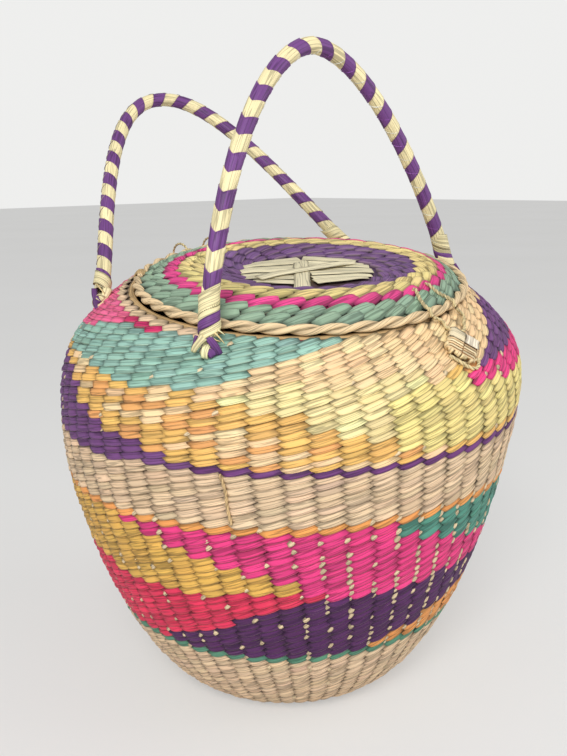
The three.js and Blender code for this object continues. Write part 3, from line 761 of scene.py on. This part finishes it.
# --------------------
# Border. The stakes' ends are bent over inside the mouth's last row and bound
# into a narrow ring of natural palm, on which the lid's rope lies.
section = np.array([
    [133.5, 335.5], [135.0, 337.6], [138.2, 337.2], [139.4, 335.4], [float(pot_radius(330)) - 1.8, 329.5],
    [133.5, 329.5],
])
turn = np.radians(np.arange(0, 360, 3))[:, None]
border = net(
    settle(polar(section[:, 0], turn, section[:, 1])), np.arange(121)[:, None] * 7.3, np.arange(7) * 5.0,
    paint(205, 172, 122), wrap=True, closed=True,
)
gather("mouth_border", [border], wall_finish, "pot", "natural_palm")

# --------------------
# Handles. Each is a stiff arched core in a square plait of flat strips,
# purple and natural by turns, so each change of colour is a row of teeth.
HANDLE_PURPLE = paint(112, 66, 130)
HANDLE_CREAM = paint(242, 228, 178)
handle_finish = palm_finish("plaited_handle_palm", 0.9, 0.0003, 0.2)
FRONT_LEFT, FRONT_RIGHT = (202.8, 327), (343.1, 322)
REAR_LEFT, REAR_RIGHT = (137, 320.5), (21.4, 320.5)
FOOT_LIFT = 4
LEG_START = 9.3


def arch_route(left_foot, right_foot, lean, rise, spread, crown):
    """The handle's middle line, from its left foot to its right, and the way its plane faces."""
    left, far = wall_point(*left_foot, FOOT_LIFT), wall_point(*right_foot, FOOT_LIFT)
    middle, across = (left + far) / 2, (far - left) / 2
    half_span = np.linalg.norm(across)
    across = across / half_span
    back = unit(np.cross([0, 0, 1], across))
    lift = np.cross(across, back)
    way = lift * math.cos(math.radians(lean)) + back * math.sin(math.radians(lean))
    s = np.linspace(-1, 1, 49)
    t = np.sign(s) * (1 - np.power(1 - np.abs(s), 1.6))
    height = rise * np.power(np.maximum(1 - np.power(np.abs(t), spread), 0), crown)
    points = middle + across * (t * half_span)[:, None] + way * height[:, None]
    near = np.minimum(np.linalg.norm(points - left, axis=1), np.linalg.norm(points - far, axis=1))
    free = points[near > LEG_START + 4]
    first = left + unit(free[0] - left) * LEG_START
    last = far + unit(free[-1] - far) * LEG_START
    return smooth_route([first, *free, last], 1.0), np.cross(across, way)


def plait(route, facing, seed, length, phase, teeth, crease):
    """Bands of a square plait along a route, each with its end standing over the next."""
    rng = np.random.default_rng(seed)
    gone = gone_along(route)
    outward = unit(np.cross(facing, np.gradient(route, axis=0)))
    sweep_from, sweep_to, line_from, line_to, line_tone_and_painted_shade, line_way = crease

    def along(values, at):
        return np.stack([np.interp(at, gone, values[:, k]) for k in range(3)], -1)

    def on_plait(turns, at, far):
        at = np.clip(at, 0, gone[-1])
        turns = np.radians(turns)[..., None]
        return along(route, at) + far[..., None] * (np.cos(turns) * unit(along(outward, at)) + np.sin(turns) * facing)

    sides = 24
    turns = np.arange(sides) * 360 / sides
    jump = np.interp(turns, *teeth, period=360)
    marks = np.array([-0.12, 0.04, 0.3, 0.6, 0.85, 1.0, 1.03])
    swell = np.array([5.6, 6.15, 6.45, 6.5, 6.6, 6.75, 5.9])
    edge = np.array([1, 1, 1, 1, 0.5, 0.0, 0.0])[:, None]
    nets = []
    for band in range(math.ceil((gone[-1] - phase) / length) + 1):
        spread = swell * (1 + 0.02 * rng.uniform(-1, 1))
        at = phase + (band + marks)[:, None] * length + jump
        if at.min() >= gone[-1] or at.max() <= 0:
            continue
        long = np.clip(at, 0, gone[-1])[:, [*range(sides), 0]] + rng.uniform(0, 500)
        wide = np.arange(sides + 1) * 1.75 + rng.uniform(0, 500)
        dye = HANDLE_PURPLE if band % 2 else HANDLE_CREAM
        dye = np.clip(np.array(dye) * rng.normal(1, 0.05), 0, 0.95)
        nets.append(net(on_plait(turns, at, spread[:, None]), long, wide, dye, wrap=True, edge=edge))
        # The edge of the strip that crosses back under the next turn, in the band's dye times a tone: lighter on the
        # front handle, and darkened as painted shade on the rear one.
        start = phase + band * length + float(np.interp(sweep_from, *teeth, period=360))
        line = start + np.linspace(line_from, line_to, 9)
        if line.min() < 2 or line.max() > gone[-1] - 2:
            continue
        line = line[:, None] + np.array([-0.45, 0.0, 0.45])
        fold = on_plait(np.linspace(sweep_from, sweep_to, 9)[:, None], line, np.array([6.35, 6.8, 6.35]))
        nets.append(net(fold[::line_way], line, line, np.clip(dye * line_tone_and_painted_shade, 0, 0.95)))
    return nets


def radial(foot, axis):
    """A rule for a strip that lies round a leg: its face looks away from the leg."""
    return lambda line: unit((line - foot) - axis * ((line - foot) @ axis)[:, None])


def ribbon(route, width, out, dye, seed, thick=0.5, taper=0.0, crown=0.3):
    """A flat palm strip along a route, its face turned to the way out."""
    rng = np.random.default_rng(seed)
    route = smooth_route(route, 1.5)
    gone = gone_along(route)
    ahead = unit(np.gradient(route, axis=0))
    out = out(route) if callable(out) else out
    face = unit(out - ahead * (out * ahead).sum(1, keepdims=True))
    across = np.cross(face, ahead)
    share = gone / gone[-1]
    wide = width / 2 * (1 - taper * share) * (1 + 0.06 * np.sin(share * 9 + rng.uniform(0, 6)))
    u = np.array([-1, -0.55, 0, 0.55, 1, 0.55, 0, -0.55])
    v = np.array([0, crown * 0.8, crown, crown * 0.8, 0, *[-thick * 0.6] * 3])
    points = route[:, None] + across[:, None] * (u[:, None] * wide[:, None, None]) + face[:, None] * v[:, None]
    long = gone[:, None] + rng.uniform(0, 500)
    high = np.append(u, u[0]) * width / 2 + rng.uniform(0, 500)
    tone_and_painted_shade = np.clip(np.array(dye) * rng.normal(1, 0.06), 0, 0.95)
    edge = np.array([0, 0.6, 1, 0.6, 0, 1, 1, 1])[::-1]
    return net(points[:, ::-1], long, high, tone_and_painted_shade, wrap=True, caps=True, edge=edge)


def leg(foot_place, inner):
    """The foot's middle, the way up the leg, and the ways across it and out to the viewer."""
    foot = wall_point(*foot_place, FOOT_LIFT)
    axis = unit(inner - foot)
    out = np.array(camera.location) * 1000 - foot
    out = unit(out - axis * (out @ axis))
    return foot, axis, np.cross(axis, out), out


def wraps(place, strips, seed):
    """Strips wound round a leg's end: turn and rise at both ends, width, distance out and dye."""
    foot, axis, across, out = place
    nets = []
    for number, (turn0, rise0, turn1, rise1, wide, far, dye) in enumerate(strips):
        turns = np.radians(np.linspace(turn0, turn1, 9))[:, None]
        rises = np.linspace(rise0, rise1, 9)[:, None]
        line = foot + axis * rises + far * (np.sin(turns) * across + np.cos(turns) * out)
        nets.append(ribbon(line, wide, radial(foot, axis), dye, seed + number, crown=0.35))
    return nets


CROSSED = [
    (-125, 28, 125, 42, 13.5, 7.2, HANDLE_CREAM), (-120, 20, 120, 33, 8.5, 7.3, HANDLE_CREAM),
    (-115, 13, 115, 26.5, 7.6, 7.6, HANDLE_PURPLE), (-42, 9.6, 100, 19.5, 6.6, 8.2, HANDLE_CREAM),
]
BACK = [(turn0, rise1, turn1, rise0, wide, far, dye) for turn0, rise0, turn1, rise1, wide, far, dye in CROSSED]
WRAPPED = [(-115, 24, 120, 9, 12.5, 7.5, HANDLE_CREAM)]
front_route, front_facing = arch_route(FRONT_LEFT, FRONT_RIGHT, 6, 203.3, 1.82, 0.79)
rear_route, rear_facing = arch_route(REAR_LEFT, REAR_RIGHT, 37.9, 213, 2.14, 1.24)
front_left, front_right = leg(FRONT_LEFT, front_route[14]), leg(FRONT_RIGHT, front_route[-15])
rear_left, rear_right = leg(REAR_LEFT, rear_route[14]), leg(REAR_RIGHT, rear_route[-15])
front_bands = plait(
    front_route, front_facing, 71, 14.3, -8.2, ([28, 250, 315], [-6.3, 7.3, 0.8]), (225, 118, 1.6, 7.2, 1.9, 1)
)
rear_bands = plait(
    rear_route, rear_facing, 72, 13.4, -9.0, ([200, 270, 340], [-6.7, 3.4, 6.5]), (-14, 62, -9.5, -3.5, 0.45, -1)
)
gather(
    "front_handle_plait", front_bands + wraps(front_left, CROSSED, 710) + wraps(front_right, BACK, 720), handle_finish,
    "front_handle", "handle_palm", "front_handle_core", "front_handle_wrap",
)
gather(
    "rear_handle_plait", rear_bands + wraps(rear_left, WRAPPED, 730) + wraps(rear_right, BACK, 740), handle_finish,
    "rear_handle", "handle_palm", "rear_handle_core", "rear_handle_wrap",
)

# --------------------
# Handle feet. The plait's strips part at the leg's end, go in through the
# wall and are tucked away, which leaves a lump of crossed and split strips.


def foot_strips(side, place, foot_place, tails, seed):
    foot, axis, across, out = place
    point, wall_along, wall_rise, wall_out = wall_frame(*foot_place)
    nets = []

    def local(x, y, z):
        return point + wall_along * x + wall_rise * y + wall_out * z

    for number, (way, dye, wide, far) in enumerate((
        (40, HANDLE_CREAM, 6.5, 6.6), (-40, HANDLE_PURPLE, 6.0, 7.0), (85, HANDLE_CREAM, 6.0, 7.3),
        (0, HANDLE_PURPLE, 5.5, 6.8),
    )):
        x, y = far * math.cos(math.radians(way)), far * math.sin(math.radians(way))
        bends = np.linspace(-1.4, 1.4, 7)
        line = [local(math.sin(bend) * x, math.sin(bend) * y, 2 + math.cos(bend) * far) for bend in bends]
        nets.append(ribbon(line, wide, lambda line: unit(line - foot), dye, seed * 10 + number))
    for number, (corners, wide, dye, taper) in enumerate(tails):
        line = [foot + axis * rise + across * side_way + out * far for side_way, rise, far in corners]
        nets.append(ribbon(line, wide, out, dye, seed * 10 + 20 + number, taper=taper))
    knot = [local(x, y, z) for x, y, z in ((-6, -3, -8.9), (-2, 3, -11.0), (3, -2, -11.0), (6, 3, -8.9))]
    nets.append(ribbon(knot, 6.0, -wall_out, NATURAL, seed * 10 + 80))
    gather("foot_strips_" + side, nets, handle_finish, "pot", "handle_palm", "foot_" + side)


STRAW = paint(232, 208, 150)
SPLIT = [
    ([(-3.5, 9.0, 8.2), (-6.5, 5.5, 7.0), (-9.5, 1.5, 4.0), (-11.0, -1.5, 1.5)], 6.0, HANDLE_CREAM, 0.35),
    ([(-0.5, 8.8, 8.0), (3.0, 4.5, 7.2), (6.0, 0.5, 4.5), (8.0, -3.0, 1.5)], 5.8, HANDLE_PURPLE, 0.25),
    ([(-8.5, 10.0, 4.0), (-10.0, 5.0, 3.5), (-11.6, 0.5, 1.5)], 2.6, HANDLE_PURPLE, 0.4),
    ([(4.0, 12.0, 7.4), (7.5, 8.5, 6.0), (10.8, 4.5, 3.5)], 1.3, STRAW, 0.6),
    ([(6.0, 14.0, 6.5), (8.5, 12.5, 5.5), (11.0, 10.5, 4.0)], 1.2, HANDLE_CREAM, 0.6),
    ([(1.0, 9.5, 8.0), (4.5, 7.0, 6.5), (8.0, 6.0, 4.5)], 1.8, STRAW, 0.7),
]
TUCKED = [
    ([(5.0, 9.0, 7.4), (4.0, 3.0, 6.5), (1.5, -3.5, 4.0), (-0.5, -9.0, 1.0)], 8.0, HANDLE_CREAM, 0.35),
    ([(-6.0, 8.0, 4.5), (-5.0, 2.0, 4.5), (-3.0, -4.5, 3.0), (-1.0, -10.0, 0.8)], 5.4, HANDLE_PURPLE, 0.3),
    ([(-5.0, 12.0, 6.5), (-1.0, 7.0, 7.6), (3.0, 3.0, 6.8)], 2.0, STRAW, 0.4),
]
MIRRORED = [
    ([(-side_way, rise, far) for side_way, rise, far in corners], *strip) for corners, *strip in SPLIT
]
foot_strips("front_left", front_left, FRONT_LEFT, SPLIT, 81)
foot_strips("front_right", front_right, FRONT_RIGHT, MIRRORED, 82)
foot_strips("rear_left", rear_left, REAR_LEFT, TUCKED, 83)
foot_strips("rear_right", rear_right, REAR_RIGHT, MIRRORED, 84)

# --------------------
# Lid panel. It is twined like the pot, from a patch of crossed strips in the
# middle outwards, in rings of purple, yellow, pink and green.
LONG_ANGLE = -38
long_way = np.array([math.cos(math.radians(LONG_ANGLE)), math.sin(math.radians(LONG_ANGLE))])
short_way = np.array([-long_way[1], long_way[0]])


def panel_top(radius):
    """The height of the lid's top over its rim, which dips in the middle."""
    radius = np.asarray(radius, float)
    up = np.clip((radius - 54) / 40, 0, 1)
    down = np.clip((radius - 94) / (131.7 - 94), 0, 1)
    return np.where(radius < 94, 9 + 7 * up * up * (3 - 2 * up), 16 - 8.5 * down ** 1.7)


def ring_place(angle, radius, height):
    """A ring's point on the lid: the inner rings are longer one way, and off the middle."""
    turn = np.radians(np.asarray(angle) - LONG_ANGLE)
    loose = np.clip((131 - radius) / 34, 0, 1)
    long = radius * np.cos(turn) * (1 + 0.06 * loose) + 9 * loose
    short = radius * np.sin(turn) * (1 - 0.09 * loose) + 4 * loose
    x, y = (long * long_way[k] + short * short_way[k] for k in (0, 1))
    return on_lid(np.stack(np.broadcast_arrays(x, y, height), -1))


def lid_surface(angle, radius, depth):
    slope = panel_top(radius + 0.5) - panel_top(radius - 0.5)
    return ring_place(angle, radius - depth * slope, panel_top(radius) + depth - 1.2)


def lid_under(angle, radius, depth):
    return ring_place(angle, radius, panel_top(radius) - 4.4 - 0.6 * depth)


LID_PURPLE = paint(124, 88, 138)
LID_YELLOW = paint(240, 218, 146)
LID_PINK = paint(230, 72, 142)
LID_GREEN = paint(150, 178, 152)
LID_RINGS = [
    (60.0, 9.6, 22, LID_PURPLE), (69.5, 9.6, 24, LID_PURPLE), (79.0, 9.6, 27, LID_PURPLE), (88.5, 9.6, 29, LID_YELLOW),
    (98.0, 9.6, 32, LID_YELLOW), (109.0, 10.0, 36, LID_PINK), (118.5, 8.6, 40, LID_GREEN), (126.5, 8.0, 44, LID_GREEN),
]
lid_finish = palm_finish("woven_lid_palm", 0.4, 0.0006, 0.35)
lid_rng = np.random.default_rng(91)
lid_nets = []
for surface, way in ((lid_surface, -1), (lid_under, 1)):
    for number, (radius, tall, count, dye) in enumerate(LID_RINGS):
        start = number * 7.0 + lid_rng.uniform(0, 3)
        cells = np.array([(start + k * 360 / count, radius, way * 360 / count, tall) for k in range(count)])
        tone = lid_rng.normal(1, 0.08, (count, 1)) + lid_rng.normal(0, 0.015, (count, 3))
        lid_nets.append(lay(lid_stitch, cells, surface, np.clip(np.array(dye) * tone, 0, 0.95), 92 + number))
gather("lid_weave", lid_nets, lid_finish, "lid", "lid_palm", "lid_panel")
reach = np.array([0.3, 30, 54, 64, 74, 84, 94, 104, 114, 124, 131])
reach = np.concatenate([reach, reach[::-1]])[:, None]
shell = ring_place(np.arange(0, 360, 5)[::-1], reach, panel_top(reach) - np.repeat([2.2, 4.0], 11)[:, None])
# The straw under the lid's weave is dark brown in the middle and 0.4 of each ring's dye further out, as painted shade
# in the gaps between the stitches.
straw_painted_shade = [paint(112, 92, 62)] * 2 + [LID_PURPLE] * 4 + [LID_YELLOW] * 2 + [LID_PINK] + [LID_GREEN] * 2
straw_painted_shade = np.array(straw_painted_shade + straw_painted_shade[::-1]) * np.where(np.arange(22) < 2, 1.0, 0.4)[:, None]
lid_straw = net(shell, np.arange(73) * 8.0, reach, straw_painted_shade[:, None, :], wrap=True, caps=True)
gather("lid_straw_painted_shade_layer", [lid_straw], lid_finish, "lid", "lid_palm")

# --------------------
# Middle strips. Strips of natural palm fan out both ways from a bar over the
# lid's middle, where they cover the start of the weave, and two loose ones
# lie across them.
fan_middle = np.array([9.0, 1.5])
fan_dye = paint(236, 226, 190)
fan_nets = []
for side in (-1, 1):
    for number, inner in enumerate((-39, -26, -13, 0, 13, 26, 39)):
        outer = inner * 0.66
        stop = 57 * math.sqrt(1 - (outer / 47) ** 2)
        near = fan_middle + long_way * side * 2 + short_way * inner
        far = fan_middle + long_way * side * stop + short_way * outer
        layer = 9.1 + 0.9 * ((number + (side > 0)) % 2)
        line = [
            on_lid([*(near * (1 - t) + far * t), layer - 0.9 * (t > 0.9) - 0.5 * t]) for t in np.linspace(0, 1, 6)
        ]
        fan_nets.append(ribbon(line, 14.5, lid_up, fan_dye, 300 + number + 10 * side, taper=0.32, crown=0.8))
gather("lid_middle_strips", fan_nets, lid_finish, "lid", "natural_palm")
for name, angle, x, y, size, wide, height, seed, node in (
    ("lid_cross_strip_wide", 46, -2, -4, 86, 14, 10.6, 334, "lid_strip_wide"),
    ("lid_cross_strip_narrow", -12, 6, -3, 96, 12.5, 11.9, 332, "lid_strip_narrow"),
):
    way = math.radians(angle)
    line = [
        on_lid([x + math.cos(way) * t, y + math.sin(way) * t, height - 1.2 * (abs(t) > size * 0.45)])
        for t in np.linspace(-size / 2, size / 2, 7)
    ]
    strip = ribbon(line, wide, lid_up, paint(238, 228, 192), seed, crown=0.5)
    gather(name, [strip], lid_finish, "lid", "natural_palm", node)

# --------------------
# Rim rope. Two thick strands of natural palm laid into a rope and sewn round
# the lid's edge; its ends meet at a short bound splice.
ROPE_DYE = paint(236, 208, 164)
ROPE_RING, ROPE_RADIUS, ROPE_LAY = 136, 4, 44
STRAND_OFFSET = 1.9
rope_finish = palm_finish("lid_rope_palm", 0.3, 0.0007, 0.3)


def strand(start, sweep, phase, seed):
    """One of the rope's two strands, over a sweep of the lid's edge."""
    turn = start + np.linspace(0, sweep, int(abs(sweep) * ROPE_RING / 1.6))
    lay_turn = phase + (turn - start) * ROPE_RING / ROPE_LAY * 2 * np.pi
    ring = ROPE_RING + STRAND_OFFSET * np.cos(lay_turn)
    route = on_lid(polar(ring, turn, ROPE_HEIGHT + STRAND_OFFSET * np.sin(lay_turn)))
    rng = np.random.default_rng(seed)
    gone, side, other = frames_along(route)
    around = np.arange(12) * 2 * np.pi / 12
    fat = 2.45 * (1 + 0.08 * np.interp(gone, np.linspace(0, gone[-1], 90), rng.uniform(-1, 1, 90)))
    ridge = 1 + 0.05 * np.cos(around * 3 + gone[:, None] / 5)
    points = route[:, None] + (fat[:, None] * ridge)[..., None] * ways_out(around, side, other)
    heart = on_lid(polar(ROPE_RING, turn, ROPE_HEIGHT))
    outside = np.clip((np.linalg.norm(points - heart[:, None], axis=-1) - 1.2) / 2.6, 0, 1)
    # Painted shade: the strands are darkened towards the rope's heart, where they press together.
    tone_and_painted_shade = np.array(ROPE_DYE) * (0.35 + 0.65 * outside ** 0.8)[..., None]
    long = gone[:, None] + rng.uniform(0, 500)
    wide = np.arange(13) * 1.3 + 0.28 * gone[:, None] + rng.uniform(0, 500)
    return net(points, long, wide, tone_and_painted_shade, wrap=True, caps=True)


splice_sweep = 16 / ROPE_RING
splice_start = math.radians(134) - splice_sweep / 2
rope_start = splice_start + splice_sweep + 0.6 / ROPE_RING
rope_sweep = 2 * math.pi - splice_sweep - 1.2 / ROPE_RING
rope_nets = [strand(rope_start, rope_sweep, phase, seed) for phase, seed in ((0, 102), (np.pi, 103))]
gather("lid_rope_strands", rope_nets, rope_finish, "lid", "natural_palm", "lid_rim_rope")
splice_nets = [strand(splice_start, splice_sweep, phase, seed) for phase, seed in ((0, 104), (np.pi, 107))]
bind = np.linspace(splice_start + 0.02, splice_start + splice_sweep - 0.02, 120)
wind = np.linspace(0, 7 * 2 * np.pi, 120)
bind_route = on_lid(polar(ROPE_RING + 4.6 * np.cos(wind), bind, ROPE_HEIGHT + 4.6 * np.sin(wind)))
splice_nets.append(two_ply(bind_route, 1.8, 6.0, paint(222, 190, 138), 106, sides=8, waist=0.8))
gather("rope_splice_binding", splice_nets, rope_finish, "lid", "natural_palm", "rope_splice")

# --------------------
# Hinge ties. Two rings of twisted cord go through the border row and round
# the lid's rope, and the lid swings on them.
TIE_SIDE, TIE_BACK, TIE_HEIGHT, TIE_RADIUS = 18, 140.3, 0.15, 1.2
rope_back = math.sqrt(ROPE_RING ** 2 - TIE_SIDE ** 2)
tie_reach = math.hypot(TIE_BACK - rope_back, ROPE_HEIGHT - TIE_HEIGHT) + ROPE_RADIUS + TIE_RADIUS + 0.6
turn = np.arange(72) * 2 * np.pi / 72
for side, spot in (("left", -TIE_SIDE), ("right", TIE_SIDE)):
    ring = polar(tie_reach, turn, spot)[:, [2, 0, 1]] + [0, TIE_BACK, TIE_HEIGHT]
    tie = two_ply(on_lid(ring), 2 * TIE_RADIUS, 8.0, CORD_DYE, 111, closed=True, sides=12)
    gather("hinge_cord_" + side, [tie], cord_finish, "pot", "palm_cord", "hinge_tie_" + side)

# --------------------
# Latch cords. The loop's two ends come over the rope and go down through the
# lid's green row, where they are knotted underneath.
for side, hole_x, hole_y, rim_angle in (("left", 12, -112, -92), ("right", 31, -109, -79)):
    turn = math.radians(rim_angle)
    start = np.array([hole_x, hole_y, float(panel_top(np.hypot(hole_x, hole_y))) + latch_lift])
    over = polar(ROPE_RING, turn, ROPE_HEIGHT + ROPE_RADIUS + latch_lift)
    halfway = (start + over) / 2
    halfway[2] = over[2] + 1.5
    round_rope = (ROPE_RADIUS + latch_lift) * math.sqrt(0.5)
    shoulder = polar(ROPE_RING + round_rope, turn, ROPE_HEIGHT + round_rope)
    line = [start + [0, 2.5, -2.6], start, halfway, over, shoulder, polar(BEAD_RING, turn, ROPE_HEIGHT)]
    end_net = two_ply(smooth_route(on_lid(line), 0.8), CORD, CORD_LAY, CORD_DYE, 121)
    gather("latch_end_" + side, [end_net], cord_finish, "lid", "palm_cord", "latch_cord_" + side)

# --------------------
# Latch button. A small square pad folded from four palm strips, standing on
# a twisted neck that is knotted inside the wall, with a keeper cord under it.
button_turn = math.radians(33)
button_x = seat_along * math.cos(button_turn) + seat_up * math.sin(button_turn)
button_y = -seat_along * math.sin(button_turn) + seat_up * math.cos(button_turn)


def on_button(x, y, z):
    return seat + button_x * x + button_y * y + seat_out * z


def on_pad(x, y, z):
    """A point of the button's pad, which sits a little to one side of its neck."""
    return on_button(x - 0.5, y + 2.4, z)


button_finish = palm_finish("folded_button_palm", 0.6, 0.0005, 0.25)
corner = np.arange(32) * 2 * np.pi / 32
square = 11.3 / np.maximum(np.abs(np.cos(corner)), np.abs(np.sin(corner))) ** 0.8
pad = np.array([
    [on_pad(share * r * math.cos(t), share * r * math.sin(t), z) for r, t in zip(square, corner)]
    for share, z in ((0.05, 3.2), (0.9, 3.2), (1.0, 4.0), (1.0, 6.4), (0.92, 7.4), (0.05, 7.4))
])
# The pad under the folds is dark brown, as painted shade where it shows between the strips.
pad_painted_shade = paint(150, 112, 72)
button_nets = [net(pad, np.arange(33) * 2.8, np.arange(6)[:, None] * 4.0, pad_painted_shade, wrap=True, caps=True)]
for number, (ends, wide, dye) in enumerate((
    ([(5.9, 12.4, 6.6), (5.9, 10.6, 8.6), (5.9, 6.0, 9.0), (5.9, 0.2, 8.9)], 11.2, paint(232, 216, 180)),
    ([(0.4, -5.9, 9.1), (5.5, -5.9, 9.4), (10.4, -5.9, 9.0), (12.4, -5.9, 6.8)], 11.4, paint(246, 232, 208)),
)):
    button_nets.append(ribbon([on_pad(*p) for p in ends], wide, seat_out, dye, 131 + number, crown=0.3))
for number in range(5):
    x = -1.5 - 2.25 * number
    high = 8.9 - 0.18 * number ** 1.6
    tone = paint(240, 220, 178) if number % 2 else paint(228, 196, 150)
    for part, (start, stop) in enumerate(((12.0, 0.6), (-0.4, -12.0))):
        line = [on_pad(x, y, high - 0.5 * part - 1.6 * (abs(y) > 11)) for y in np.linspace(start, stop, 6)]
        button_nets.append(ribbon(line, 1.75, seat_out, tone, 140 + number * 2 + part, thick=1.1, crown=0.45))
for number, way in enumerate(np.arange(4) * math.pi / 2):
    c, s = math.cos(way), math.sin(way)
    for k in range(4):
        offset = (k - 1.5) * 5.9
        fold = ((11.4, 7.4), (12.2, 5.6), (11.6, 3.6), (9.0, 2.9))
        line = [on_pad(c * r - s * offset, s * r + c * offset, h) for r, h in fold]
        seed = 160 + number * 4 + k
        button_nets.append(ribbon(line, 5.5, lambda route: unit(route - on_pad(0, 0, 5)), paint(236, 212, 164), seed))
gather("latch_button_folds", button_nets, button_finish, "pot", "natural_palm", "latch_button")

neck_route = smooth_route([on_button(0, 0, z) for z in (-11.5, -8, -4, 0, 2.2)], 0.8)
t = np.linspace(0, 2.2 * 2 * np.pi, 60)
knot = polar(3.6, t, -10.2 + 0.9 * np.sin(1.5 * t)) @ np.array([seat_along, seat_up, seat_out]) + seat
neck_nets = [two_ply(neck_route, 4.8, 11.0, CORD_DYE, 181), two_ply(knot, 3.2, CORD_LAY, CORD_DYE, 182, sides=10)]
gather("button_neck_cord", neck_nets, cord_finish, "pot", "palm_cord", "button_neck")
keeper_route = smooth_route([
    on_button(x, y, latch_lift)
    for x, y in ((-14.4, 9.4), (-14.4, 0), (-14.4, -9.4), (-12.4, -12.4), (-9.4, -14.4), (0, -14.4))
], 0.8)
keeper = two_ply(keeper_route, CORD, CORD_LAY, CORD_DYE, 183)
gather("button_keeper_cord", [keeper], cord_finish, "pot", "palm_cord", "button_keeper")

# --------------------
# Mend. A short length of twisted cord that was sewn on the wall's natural
# band, perhaps over a broken stake.
mend_route = smooth_route([
    wall_point(angle, height, 2.65) for angle, height in ((211.8, 246), (213.1, 231), (213.6, 216), (214.4, 201))
], 0.8)
mend = two_ply(mend_route, 2.5, 10.0, paint(226, 192, 140), 191)
gather("mend_twist", [mend], cord_finish, "pot", "palm_cord", "mend_cord")
